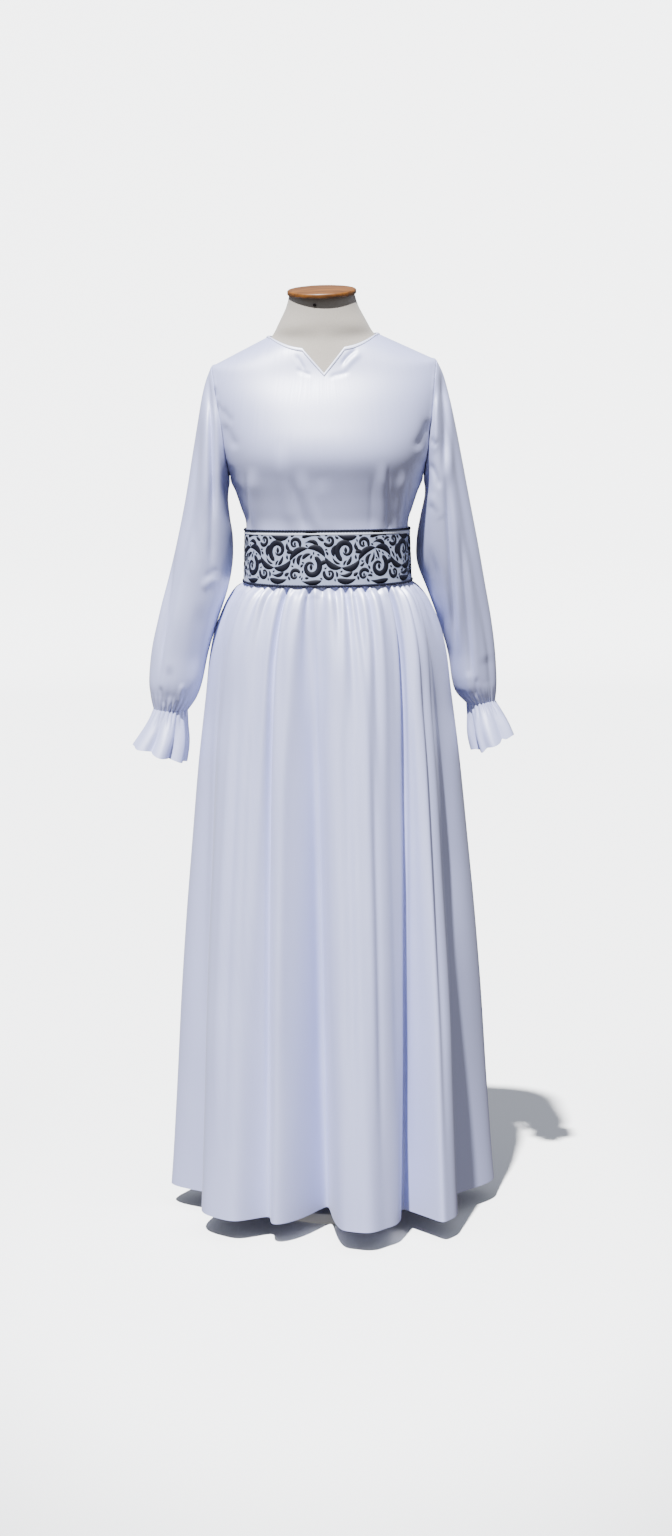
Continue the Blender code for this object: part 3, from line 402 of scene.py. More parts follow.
# Long soft waves between the main folds, in degrees at the waist: the heights at which
# each starts and ends, and the runs over which it comes in and dies away
WAVE_RUN_TOP = 0.22
WAVE_RUN_LOW = 0.30
LongWave = namedtuple("LongWave", "angle width top low rise_mm")
LONG_WAVES = rows_of(LongWave, (
    (-82, 5.0, 0.95, 0.10, 3.0),
    (-68, 1.6, 1.02, 0.04, -4.5),
    (-64, 1.4, 0.99, 0.10, 2.2),
    (-25, 1.4, 0.98, 0.04, -5.5),
    (-22.5, 1.2, 1.04, 0.30, 2.4),
    (-8, 1.5, 1.02, 0.04, -4.0),
    (-5, 1.2, 1.05, 0.20, 2.4),
    (43, 1.6, 1.06, 0.04, -6.0),
    (46, 1.3, 1.05, 0.10, 3.4),
    (60, 5.0, 1.10, 0.30, -9.0),
    (74, 6.0, 0.62, -0.30, 14.0),
    (66, 2.0, 1.05, 0.06, -4.0),
    (-75, 3.0, 0.90, 0.25, -3.2),
    (-50, 3.4, 0.98, 0.06, 3.4),
    (-45.5, 2.2, 0.92, 0.12, -2.4),
    (-36, 2.6, 0.99, 0.30, -3.0),
    (-20.5, 2.2, 0.98, 0.45, 2.6),
    (-14, 1.8, 0.95, 0.15, -2.6),
    (-1.5, 2.2, 1.00, 0.20, 3.2),
    (6, 2.2, 0.96, 0.08, -3.6),
    (15.5, 2.4, 1.00, 0.15, 3.2),
    (19.5, 2.0, 0.85, 0.06, -3.0),
    (30, 3.0, 0.98, 0.10, -3.2),
    (36, 2.6, 0.80, 0.06, 3.4),
    (49.5, 1.8, 1.01, 0.30, 2.8),
    (57.5, 2.2, 0.98, 0.08, -3.0),
    (67, 2.6, 0.90, 0.15, 3.0),
    (82, 4.0, 0.95, 0.12, 3.0),
    (110, 4.0, 0.95, 0.10, 3.2),
    (134, 2.6, 0.90, 0.08, -3.0),
    (147, 2.4, 0.97, 0.20, 3.0),
    (166, 2.6, 0.92, 0.06, -3.4),
    (179, 2.4, 0.96, 0.18, 2.8),
    (198, 2.6, 0.95, 0.08, -3.2),
    (208, 2.2, 0.90, 0.22, 3.0),
    (231, 3.0, 0.96, 0.06, -3.2),
    (244, 2.6, 0.92, 0.16, 3.0),
    (265, 3.4, 0.93, 0.12, -2.8),
))

# Sleeves: the outer and inner edge of each ring as seen from the front, its middle from
# front to back and half its depth, in millimetres. The first ring is the armhole.
SleeveRing = namedtuple("SleeveRing", "outer_x outer_z inner_x inner_z middle_y half_depth")
ARMHOLE_RING = SleeveRing(
    SHOULDER_REACH, SHOULDER_TIP, UNDERARM_REACH, UNDERARM, 0.0, ARMHOLE_DEPTH
)
LEFT_SLEEVE = (ARMHOLE_RING,) + mm_rows_of(SleeveRing, (
    (192.5, 1389, 160.5, 1216, 0, 56),
    (202, 1353, 161.7, 1196, 0, 57),
    (214.5, 1290, 159, 1168, 1, 58),
    (230, 1202, 155, 1138, 2, 57),
    (246, 1128, 156, 1096, 4, 55),
    (261, 1069, 165, 1052, 6, 52),
    (277, 1010, 182, 1001, 8, 50),
    (290, 955, 198, 949, 10, 48),
    (295.5, 905, 209, 900, 10, 45),
    (293.5, 878, 219, 874, 10, 37),
    (288.5, 855, 235, 852, 10, 26),
))
LEFT_FRILL = mm_rows_of(SleeveRing, (
    (288.5, 855, 235, 852, 10, 26),
    (297, 836, 234.5, 831, 10, 30),
    (308, 816, 234.5, 801, 10, 37),
    (321, 796, 240, 768, 10, 43),
))
RIGHT_SLEEVE = (ARMHOLE_RING,) + mm_rows_of(SleeveRing, (
    (192, 1392, 160.5, 1216, 2, 56),
    (201, 1357, 159.5, 1196, 4, 57),
    (215, 1290, 152.5, 1165, 8, 58),
    (232, 1200, 147, 1130, 14, 57),
    (247, 1122, 148, 1092, 22, 55),
    (258, 1060, 165, 1046, 32, 52),
    (269, 999, 184, 992, 44, 49),
    (276, 945, 199, 940, 52, 46),
    (279, 898, 206, 893, 56, 43),
    (278.5, 877, 213, 872, 56, 36),
    (275.5, 858, 231, 853, 56, 26),
))
RIGHT_FRILL = mm_rows_of(SleeveRing, (
    (275.5, 858, 231, 853, 56, 26),
    (285, 843, 231, 834, 56, 30),
    (296, 822, 233, 806, 56, 37),
    (306, 798, 240, 778, 56, 43),
))
SLEEVE_COLUMNS = 150
SLEEVE_ROWS = 200
FRILL_COLUMNS = 220
FRILL_ROWS = 44

# The long fold down the front of a sleeve: its angle from the outer edge, in degrees, its
# width and its depth
SLEEVE_FOLD_ANGLE = 42.0
SLEEVE_FOLD_WIDTH = 14.0
SLEEVE_FOLD_DEPTH = 6.5 * MM

# Shares of a sleeve's length: creases come in over the first, the gap at the armhole closes
# over the second, and the wrist's shirring grows from the third over the fourth
SLEEVE_CREASE_RUN = 0.06
ARMHOLE_GAP_RUN = 0.05
SHIRRING_START = 0.86
SHIRRING_RUN = 0.14
FRILL_SHIRRING_RUN = 0.55
LEFT_WRIST_SEED = 11
RIGHT_WRIST_SEED = 12

# How far round a sleeve the front's creases give way to the back's, as a share of its
# half-depth, and where its underside hangs clear of the armhole
SLEEVE_SIDE_BLEND = 0.35
HANG_START = 0.45
HANG_END = 0.85

# Ruffles of a frill: angle from the outer edge through the front, width in degrees, how
# far each stands out at the hem in millimetres, and how far it drops the hem
Ruffle = namedtuple("Ruffle", "angle width out_mm drop_mm")
LEFT_RUFFLES = rows_of(Ruffle, (
    (8, 20, 4, 0),
    (40, 14, 6, 2),
    (67, 8, -9, 0),
    (92, 14, 7, 3),
    (118, 8, -8, -1),
    (140, 12, 6, 3),
    (163, 8, -6, 0),
    (188, 16, 4, 2),
    (215, 10, -8, 0),
    (240, 14, 7, 2),
    (268, 10, -9, -2),
    (295, 14, 7, 2),
    (328, 10, -7, 0),
))
RIGHT_RUFFLES = rows_of(Ruffle, (
    (6, 14, 2, -2),
    (34, 14, 6, -5),
    (62, 8, -5, -4),
    (92, 17, 8, 2),
    (121, 9, 5, 8),
    (140, 6, -9, 4),
    (160, 12, 6, 2),
    (186, 10, -4, 0),
    (212, 14, 6, 2),
    (240, 10, -8, 0),
    (268, 14, 7, 2),
    (300, 10, -8, -2),
    (330, 14, 6, 0),
))

# The dress form by height: half-width, depth to the front and to the back, squareness
FormSection = namedtuple("FormSection", "height side front back squareness")
FORM_SECTIONS = rows_of(FormSection, (
    (0.800, 0.120, 0.075, 0.085, 2.3),
    (0.806, 0.142, 0.090, 0.100, 2.3),
    (0.850, 0.158, 0.101, 0.114, 2.3),
    (0.930, 0.164, 0.104, 0.118, 2.3),
    (1.000, 0.150, 0.098, 0.108, 2.3),
    (1.060, 0.127, 0.097, 0.088, 2.3),
    (1.110, 0.123, 0.097, 0.087, 2.3),
    (1.150, 0.124, 0.099, 0.090, 2.3),
    (1.195, 0.136, 0.1085, 0.099, 2.3),
    (1.235, 0.148, 0.1215, 0.103, 2.3),
    (1.275, 0.151, 0.1312, 0.109, 2.3),
    (1.315, 0.153, 0.1200, 0.112, 2.3),
    (1.355, 0.158, 0.102, 0.107, 2.3),
    (1.385, 0.1635, 0.088, 0.098, 2.3),
    (1.408, 0.1660, 0.0785, 0.089, 2.0),
    (1.419, 0.1630, 0.0730, 0.081, 1.6),
    (1.430, 0.1405, 0.0680, 0.074, 1.6),
    (1.445, 0.1090, 0.0610, 0.065, 1.6),
    (1.456, 0.0850, 0.0555, 0.0565, 1.6),
    (1.470, 0.0770, 0.0540, 0.0530, 2.0),
    (1.4875, 0.0680, 0.0520, 0.051, 2.0),
    (1.507, 0.0580, 0.0475, 0.048, 2.0),
    (1.5245, 0.0535, 0.0440, 0.046, 2.0),
))
FORM_COLUMNS = 112
FORM_ROW_STEP = 5.0 * MM
FORM_INSET = 0.4 * MM
FORM_SOFTENING = 3
FORM_END_RINGS = (0.66, 0.33)
NECK_TILT_START = 1.470
NECK_TILT_RUN = 0.030
NECK_TILT = 0.12

# Wooden cap, its dome in steps of inset and share of its height, the screw and the stand
CAP_HALF_WIDTH = 0.0560
CAP_HALF_DEPTH = 0.0570
CAP_RIM = 8.0 * MM
CAP_DOME = 3.0 * MM
CAP_DOME_STEPS = ((0.008, 0.40), (0.012, 0.30), (0.014, 0.20))
CAP_BEVEL = 2.6 * MM
SCREW_RADIUS = 2.6 * MM
SCREW_THICKNESS = 1.4 * MM
SCREW_SLOT = 0.7 * MM
POLE_RADIUS = 0.014
COLLAR_RADIUS = 0.026
COLLAR_HEIGHT = 0.040
BASE_RADIUS = 0.095
BASE_THICKNESS = 0.018
STAND_GAP = 0.3 * MM

# Edges sharper than this, in degrees, stay sharp: on cloth, and on turned pieces
SHARP_ANGLE = 60.0
TURNED_SHARP_ANGLE = 40.0

# Neck binding: its section from the neck edge to its lower edge, as shares of its width
# and of its rise
BINDING_WIDTH = 5.5 * MM
BINDING_RISE = 1.5 * MM
BINDING_SECTION = (
    (0.00, 0.1), (0.00, 0.7), (0.12, 1.0), (0.35, 1.1),
    (0.65, 1.05), (0.9, 0.85), (1.0, 0.5), (1.0, 0.1),
)

# Belt: how far its middle stands out of the body's, half its wall, and the steps of its mesh
BELT_OUTSET = 1.7 * MM + PACKED_CLOTH / 2.0
BELT_HALF_WALL = 1.0 * MM
BELT_COLUMNS = 360
BELT_ROWS = 26

# The two cords on the belt's edges, each twisted from two strands
TOP_EDGE_RADIUS = 1.275 * MM
TOP_EDGE_FLATTENING = 1.35
TOP_EDGE_STANDOFF = 0.5 * MM
BOTTOM_EDGE_RADIUS = 1.9 * MM
BOTTOM_EDGE_DROP = 1.71 * MM
BOTTOM_EDGE_STANDOFF = 0.4 * MM
EDGE_STRANDS = 2
EDGE_STRAND_SWELL = 0.13
EDGE_TWIST_PITCH = 5.0 * MM
EDGE_COLUMNS = 1300
EDGE_SIDES = 10

# The white line below the belt's top edge: rows of a belt of this many rows, with the rise
# of each out of the belt's face in millimetres
WHITE_LINE_ROWS = 60
WHITE_LINE_COLUMNS = 400
WHITE_LINE = ((54, 0.1), (55, 0.7), (56, 0.7), (57, 0.1))
WHITE_LINE_ROOT = 0.3 * MM

# The belt's ornament is a plain running scroll of the builder's own drawing, in
# millimetres on one repeat of the belt: a wavy stem, volutes and comma leaves
BELT_REPEATS = 7
UNIT_WIDTH = 114.0
Volute = namedtuple("Volute", "x z outer inner start sweep width")
VOLUTES = rows_of(Volute, (
    (30, 27, 16.5, 5.0, 70, -400, 10.5),
    (87, 52, 16.5, 5.0, 250, -400, 10.5),
    (60, 67, 9.0, 3.2, 200, 350, 6.6),
    (3, 15, 9.0, 3.2, 20, 350, 6.6),
    (60, 17, 9.5, 3.4, 150, 350, 6.8),
    (3, 62, 9.5, 3.4, -30, 350, 6.8),
))
Leaf = namedtuple("Leaf", "x1 z1 x2 z2 bow width bulb")
LEAVES = rows_of(Leaf, (
    (-6, 36, 24, 55, 6, 9.9, 0.50),
    (24, 55, 53, 42, 7, 10.4, 0.50),
    (53, 42, 80, 26, -6, 9.9, 0.50),
    (80, 26, 110, 38, -7, 10.4, 0.50),
    (15, 71, 46, 73, 5, 9.1, 0.35),
    (74, 75, 106, 73, -4, 8.6, 0.60),
    (72, 9, 103, 9, -4, 9.1, 0.40),
    (15, 6, 47, 7, -3, 8.3, 0.60),
    (46, 30, 58, 33, 3, 7.0, 0.40),
    (103, 48, 115, 46, 3, 7.0, 0.40),
    (104, 64, 109, 52, -3, 6.2, 0.60),
    (68, 43, 72, 60, 4, 6.8, 0.40),
    (10, 30, 16, 46, 4, 6.8, 0.40),
    (76, 16, 98, 20, -4, 6.5, 0.65),
    (20, 63, 42, 60, 4, 6.5, 0.65),
))
VOLUTE_STEPS = 44
LEAF_STEPS = 12
THINNEST_STROKE = 0.15

# The round seed in a volute: how far it passes the volute's inner end, and its width in
# those radii
SEED_MARGIN = 0.4
SEED_WIDTH = 1.76

# Small commas set into the gaps, the longest tried first: how many places are tried, the
# clear gap round each, their shape, and the band of the belt in which their middles and
# their lines keep, in millimetres
FILL_SEEDS = (3, 4, 5)
FILL_TRIES = 2500
FILL_GAP = 0.7
FILL_LENGTHS = (16.0, 12.0, 9.0, 6.5, 4.5)
FILL_WIDTHS = (3.6, 6.8)
FILL_SLIMNESS = 0.62
FILL_BOW = 0.22
FILL_BULB = 0.42
FILL_LOW = 6.5
FILL_HIGH = 74.5
FILL_FLOOR = 4.5
FILL_CEILING = 76.0

# Section of a stitched stroke, as shares of its half-width and of its rise
StitchPoint = namedtuple("StitchPoint", "across rise")
STITCH_SECTION = rows_of(StitchPoint, (
    (-1.0, -0.2),
    (-0.9, 0.65),
    (0.0, 1.0),
    (0.9, 0.65),
    (1.0, -0.2),
))


def linear_colour(code):
    """An sRGB hex colour as linear red, green, blue and alpha."""
    channels = [int(code[i:i + 2], 16) / 255.0 for i in (1, 3, 5)]
    linear = [
        value / 12.92 if value <= 0.04045 else ((value + 0.055) / 1.055) ** 2.4
        for value in channels
    ]
    return (*linear, 1.0)


def tone_property(piece, shade, code):
    """One of a finish's two close tones, whose default is an sRGB hex code."""
    return FloatVectorProperty(
        name=f"{piece}, {shade}", description=f"The {shade} tone of the {piece.lower()}",
        default=linear_colour(code), size=4, min=0.0, max=1.0, subtype="COLOR",
    )


class ClothSettings(bpy.types.PropertyGroup):
    """Sizes of the satin and of what is sewn on it"""

    thickness: FloatProperty(
        name="Cloth thickness", description="Thickness of the satin shell",
        default=0.7 * MM, min=0.3 * MM, max=1.6 * MM, unit="LENGTH", precision=4,
    )
    crease_scale: FloatProperty(
        name="Crease depth", description="Multiplies the depth of every soft crease",
        default=1.0, min=0.0, max=2.0, subtype="FACTOR",
    )
    wrist_gathers: IntProperty(
        name="Wrist gathers", description="Number of small gathers round each wrist",
        default=26, min=8, max=60, subtype="UNSIGNED",
    )
    wrist_gather_depth: FloatProperty(
        name="Wrist gather depth", description="Depth of the shirring at the wrist",
        default=1.6 * MM, min=0.0, max=4.0 * MM, unit="LENGTH", precision=4,
    )
    scroll_rise: FloatProperty(
        name="Stitching height", description="How high the belt's stitched scrolls stand",
        default=0.55 * MM, min=0.1 * MM, max=1.5 * MM, unit="LENGTH", precision=5,
    )


class ColourSettings(bpy.types.PropertyGroup):
    """The two close tones of each finish, which its pattern mixes"""

    satin_dark: tone_property("Satin", "darker", "#A0A6D4")
    satin_light: tone_property("Satin", "lighter", "#ADB3DF")
    # The neck strip's paler tones are painted sheen on the same satin
    binding_dark: tone_property("Neck strip", "darker", "#BCC1E1")
    binding_light: tone_property("Neck strip", "lighter", "#C8CDEA")
    ground_dark: tone_property("Belt band", "darker", "#7F88A6")
    ground_light: tone_property("Belt band", "lighter", "#9EA7C2")
    thread_dark: tone_property("Stitching", "darker", "#04050F")
    thread_light: tone_property("Stitching", "lighter", "#0B0D1F")
    cord_dark: tone_property("Belt cords", "darker", "#060817")
    cord_light: tone_property("Belt cords", "lighter", "#0F122A")
    braid_dark: tone_property("White line", "darker", "#BCC2D4")
    braid_light: tone_property("White line", "lighter", "#CCD1E0")
    jersey_dark: tone_property("Jersey", "darker", "#8B857C")
    jersey_light: tone_property("Jersey", "lighter", "#98928A")
    wood_dark: tone_property("Wood", "darker", "#3A1E04")
    wood_light: tone_property("Wood", "lighter", "#74450C")
    screw_dark: tone_property("Screw", "darker", "#2A2624")
    screw_light: tone_property("Screw", "lighter", "#3A3532")
    pole_dark: tone_property("Pole", "darker", "#A9A9AB")
    pole_light: tone_property("Pole", "lighter", "#BDBDBF")
    plate_dark: tone_property("Base plate", "darker", "#D6D7D8")
    plate_light: tone_property("Base plate", "lighter", "#E0E1E2")
    # The floor's darker tone is painted shade, mixed in away from the dress and towards the viewer
    floor_dark: tone_property("Floor", "darker", "#A8A9AB")
    floor_light: tone_property("Floor", "lighter", "#F7F8F8")


def cloth():
    """The panel's sizes."""
    return bpy.context.scene.dress_cloth


def tones(finish):
    """The two tones of a finish as set in the panel, the darker one first."""
    colours = bpy.context.scene.dress_colours
    return tuple(getattr(colours, finish + "_dark")), tuple(getattr(colours, finish + "_light"))


def smooth_step(value):
    """From 0 to 1 with level ends, as value goes from 0 to 1."""
    value = np.clip(value, 0.0, 1.0)
    return value * value * (3.0 - 2.0 * value)


def mix(first, second, share):
    return first + (second - first) * share


def hermite(start, end, slope_start, slope_end, t):
    """A smooth curve from start to end with a slope at each."""
    return (
        start * (2 * t**3 - 3 * t**2 + 1)
        + slope_start * (t**3 - 2 * t**2 + t)
        + end * (3 * t**2 - 2 * t**3)
        + slope_end * (t**3 - t**2)
    )


def table_value(rows, column, heights, key="height"):
    """Read a column of a table at many heights, on a smooth curve through its rows."""
    rows = sorted(rows, key=lambda row: getattr(row, key))
    levels = np.array([getattr(row, key) for row in rows], dtype=float)
    values = np.array([getattr(row, column) for row in rows], dtype=float)
    spans = np.diff(levels)
    secants = np.diff(values) / spans
    below = np.concatenate([secants[:1], secants])
    above = np.concatenate([secants, secants[-1:]])
    product = below * above
    total = np.where(product > 0.0, below + above, 1.0)
    slopes = np.where(product > 0.0, 2.0 * product / total, 0.0)
    heights = np.clip(np.asarray(heights, dtype=float), levels[0], levels[-1])
    index = np.clip(np.searchsorted(levels, heights, side="right") - 1, 0, len(rows) - 2)
    t = (heights - levels[index]) / spans[index]
    return hermite(
        values[index], values[index + 1],
        slopes[index] * spans[index], slopes[index + 1] * spans[index], t,
    )


def smooth_line(values, positions):
    """Read an even list of values at fractional positions, on a smooth curve."""
    values = np.asarray(values, dtype=float)
    slopes = np.gradient(values)
    index = np.clip(np.floor(positions).astype(int), 0, len(values) - 2)
    t = positions - index
    return hermite(values[index], values[index + 1], slopes[index], slopes[index + 1], t)


def apart_round(angles, angle):
    """How far angles lie from one angle, in degrees from -180 to 180."""
    return (angles - angle + 180.0) % 360.0 - 180.0


def bell(distance, width):
    """A soft swell, 1 in the middle, that fades with the distance from it."""
    return np.exp(-((distance / width) ** 2))


def signed_power(values, power):
    return np.sign(values) * np.abs(values) ** power


def section_points(angles, side, depth, heights, squareness):
    """Points of rounded sections: angle 0 is the front, +90 the side at +X."""
    power = 2.0 / squareness
    x = side * signed_power(np.sin(angles), power)
    y = -depth * signed_power(np.cos(angles), power)
    return np.stack([x, y, heights + np.zeros_like(x)], axis=-1)


def grid_normals(grid, closed):
    """Outward normals of a grid whose rows run round the body towards +X at the front."""
    if closed:
        along = np.roll(grid, -1, axis=1) - np.roll(grid, 1, axis=1)
    else:
        along = np.gradient(grid, axis=1)
    up = np.gradient(grid, axis=0)
    normals = np.cross(along, up)
    return normals / np.linalg.norm(normals, axis=2, keepdims=True)


def level_row(normals, row):
    """Turn the normals of a row level, so that the wall's edge there is level too."""
    normals[row, :, 2] = 0.0
    normals[row] /= np.linalg.norm(normals[row], axis=1, keepdims=True)


def raise_grid(grid, relief, closed):
    """Move a grid out along its normals by a relief in metres."""
    return grid + grid_normals(grid, closed) * relief[..., None]


def crease_relief(x, z, creases, scale):
    """Height in metres of soft creases seen from the front, at points x and z."""
    relief = np.zeros_like(x)
    for crease in creases:
        run_x = crease.x_low - crease.x_top
        run_z = crease.z_low - crease.z_top
        length = math.hypot(run_x, run_z)
        from_x = x - crease.x_top
        from_z = z - crease.z_top
        share = (from_x * run_x + from_z * run_z) / length**2
        aside = (from_x * run_z - from_z * run_x) / length
        aside -= crease.bow * 4.0 * share * (1.0 - share)
        fade = smooth_step(share / CREASE_FADE) * smooth_step((1.0 - share) / CREASE_FADE)
        relief += crease.rise * fade * bell(aside, crease.width)
    return relief * scale


def arc_lengths(grid, closed):
    """Flat coordinates of a grid in metres: along each row, and up from its first row."""
    if closed:
        grid = np.concatenate([grid, grid[:, :1]], axis=1)
    steps_u = np.linalg.norm(np.diff(grid, axis=1), axis=2)
    steps_v = np.linalg.norm(np.diff(grid, axis=0), axis=2).mean(axis=1)
    u = np.concatenate([np.zeros((len(grid), 1)), np.cumsum(steps_u, axis=1)], axis=1)
    u -= u[:, -1:] / 2.0
    v = np.concatenate([[0.0], np.cumsum(steps_v)])
    return np.stack([u, np.broadcast_to(v[:, None], u.shape)], axis=-1)


def quads(a, b, c, d):
    """Four-sided faces from four arrays of corners."""
    return np.stack([a, b, c, d], axis=-1).reshape(-1, 4)


def leaned(points):
    """Where the lean of the upper body takes an array of points."""
    share = smooth_step((points[..., 2] - LEAN_START) / LEAN_RUN)
    moved = points.copy()
    moved[..., 0] -= LEAN_SLOPE * (points[..., 2] - LEAN_START) * share
    moved[..., 2] += (SHOULDER_LIFT + LEAN_SLOPE * points[..., 0]) * share
    return moved


def linked_piece(name, points, faces, material, sharp_angle=None):
    """A smooth-shaded piece of its own mesh, with edges sharper than an angle kept sharp."""
    mesh = bpy.data.meshes.new(name)
    mesh.from_pydata(points.tolist(), [], faces)
    mesh.shade_smooth()
    if sharp_angle:
        mesh.set_sharp_from_angle(angle=math.radians(sharp_angle))
    mesh.materials.append(material)
    piece = bpy.data.objects.new(name, mesh)
    bpy.context.scene.collection.objects.link(piece)
    return piece


def flat_mapped_piece(name, points, faces, flat, material):
    """A piece with its own UV map, which is flat in metres for each face corner."""
    piece = linked_piece(name, leaned(points), faces.tolist(), material, SHARP_ANGLE)
    uv_map = piece.data.uv_layers.new(name="cloth_metres")
    uv_map.data.foreach_set("uv", flat.reshape(-1).astype(np.float32))
    return piece


def wall_piece(name, outer, inner, closed, material):
    """A closed thin wall between an outer and an inner grid of points."""
    rows, columns = outer.shape[:2]
    corners = columns + 1 if closed else columns
    cell = np.arange(rows * corners).reshape(rows, corners)
    vertex = np.arange(rows * columns).reshape(rows, columns)
    if closed:
        vertex = np.concatenate([vertex, vertex[:, :1]], axis=1)
    back = cell + rows * corners
    faces = [
        quads(cell[:-1, :-1], cell[:-1, 1:], cell[1:, 1:], cell[1:, :-1]),
        quads(back[:-1, :-1], back[1:, :-1], back[1:, 1:], back[:-1, 1:]),
        quads(cell[0, :-1], back[0, :-1], back[0, 1:], cell[0, 1:]),
        quads(cell[-1, :-1], cell[-1, 1:], back[-1, 1:], back[-1, :-1]),
    ]
    if not closed:
        faces.append(quads(cell[:-1, 0], cell[1:, 0], back[1:, 0], back[:-1, 0]))
        faces.append(quads(cell[:-1, -1], back[:-1, -1], back[1:, -1], cell[1:, -1]))
    faces = np.concatenate(faces)
    vertex_of = np.concatenate([vertex.reshape(-1), vertex.reshape(-1) + rows * columns])
    flat = arc_lengths(outer, closed).reshape(-1, 2)
    flat = np.concatenate([flat, flat])
    points = np.concatenate([outer.reshape(-1, 3), inner.reshape(-1, 3)])
    return flat_mapped_piece(name, points, vertex_of[faces], flat[faces], material)


def dress_piece(piece, slot, *nodes):
    """A piece rides on the root body and stands for its nodes, which it hides; the slot is not used.
    """
    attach(piece, "root")
    if nodes:
        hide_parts(*nodes)
    return piece


def satin_piece(name, grid, normals, closed):
    """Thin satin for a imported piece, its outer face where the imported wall's outer face is."""
    outer = grid + normals * (PACKED_CLOTH / 2.0)
    inner = grid + normals * (PACKED_CLOTH / 2.0 - cloth().thickness)
    piece = wall_piece(name + "_cloth", outer, inner, closed, satin_material())
    return dress_piece(piece, "satin", name)


def body_depth(heights, facing):
    """Depth of the body to the front, for facing -1, or to the back."""
    return table_value(BODY_SECTIONS, "front" if facing < 0 else "back", heights)


def body_reach(heights, facing):
    """Half-width of the whole section at a height, as if the armhole were filled."""
    low = table_value(BODY_SECTIONS, "side", heights)
    high = mix(SHOULDER_REACH, NECK_REACH, (heights - SHOULDER_TIP) / (NECK_POINT - SHOULDER_TIP))
    across = np.clip((heights - UNDERARM) / (SHOULDER_TIP - UNDERARM), 0.0, 1.0)
    edge_x = mix(UNDERARM_REACH, SHOULDER_REACH, across)
    edge_y = ARMHOLE_DEPTH * np.sin(np.arccos(2.0 * across - 1.0))
    inset = (edge_y / body_depth(heights, facing)) ** BODY_SQUARENESS
    middle = edge_x / (1.0 - inset) ** (1.0 / BODY_SQUARENESS)
    return np.where(heights <= UNDERARM, low, np.where(heights >= SHOULDER_TIP, high, middle))


def body_points(x, heights, facing):
    """Points on the front or the back of the body."""
    share = np.clip(np.abs(x) / body_reach(heights, facing), 0.0, 1.0)
    bulge = (1.0 - share**BODY_SQUARENESS) ** (1.0 / BODY_SQUARENESS)
    return np.stack([x, facing * body_depth(heights, facing) * bulge, heights], axis=-1)


def neck_edge(facing, u):
    """Half of a panel's top edge as x and height, from the centre to the shoulder tip."""
    corner_z = NOTCH_CORNER if facing < 0 else BACK_NECK_SIDE
    centre_z = NOTCH_APEX if facing < 0 else BACK_NECK
    shares = (0.0, NOTCH_SHARE, NECK_SHARE, 1.0)
    x = np.interp(u, shares, (0.0, NOTCH_REACH, NECK_REACH, SHOULDER_REACH))
    z = np.interp(u, shares, (centre_z, corner_z, NECK_POINT, SHOULDER_TIP))
    if facing < 0:
        along = np.clip((u - NOTCH_SHARE) / (NECK_SHARE - NOTCH_SHARE), 0.0, 1.0)
        z = z - NECK_SAG * np.sin(math.pi * along)
    return x, z


def side_edge(shares):
    """The right edge of a panel as x and height: side seam, then armhole to the tip."""
    seam_z = table_value(SIDE_ROWS + (SideRow(UNDERARM, ARMHOLE_ROWS[0].share),), "height",
                         shares, key="share")
    seam_x = table_value(BODY_SECTIONS, "side", seam_z)
    angles = np.radians(table_value(ARMHOLE_ROWS, "angle", shares, key="share"))
    across = (1.0 + np.cos(angles)) / 2.0
    hole_x = mix(UNDERARM_REACH, SHOULDER_REACH, across)
    hole_z = mix(UNDERARM, SHOULDER_TIP, across)
    below = shares <= ARMHOLE_ROWS[0].share
    return np.where(below, seam_x, hole_x), np.where(below, seam_z, hole_z)


def panel_shares():
    """Shares of the way up a bodice panel at which its fine rows lie."""
    marks = [row.share for row in SIDE_ROWS + ARMHOLE_ROWS]
    parts = [
        np.linspace(low, high, BODICE_ROW_STEPS, endpoint=False)
        for low, high in zip(marks, marks[1:])
    ]
    return np.concatenate(parts + [[1.0]])


def softened(values, passes):
    """Points of a grid blurred along its columns; the first and last rows stay."""
    values = values.copy()
    for _ in range(passes):
        values[1:-1] = (values[:-2] + 2.0 * values[1:-1] + values[2:]) / 4.0
    return values


def seam_relief(grid, first_row):
    """A pressed seam: a shallow dip at the panel's side edges with a soft roll beside it."""
    steps = np.linalg.norm(np.diff(grid, axis=1), axis=2)
    reach = np.concatenate([np.zeros((len(grid), 1)), np.cumsum(steps, axis=1)], axis=1)
    inside = np.minimum(reach, reach[:, -1:] - reach)
    roll = SEAM_ROLL * bell(inside - SEAM_ROLL_PLACE, SEAM_ROLL_WIDTH)
    dip = SEAM_DIP * bell(inside, SEAM_DIP_WIDTH)
    rows = np.arange(len(grid))[:, None]
    # Two waves of unlike length, 7 and 17 rows long, so that the puckers come unevenly
    pucker = 1.0 + SEAM_PUCKER * np.sin(rows * 0.9) * np.sin(rows * 0.37 + 1.0)
    return np.where(rows >= first_row, roll * pucker - dip, 0.0)


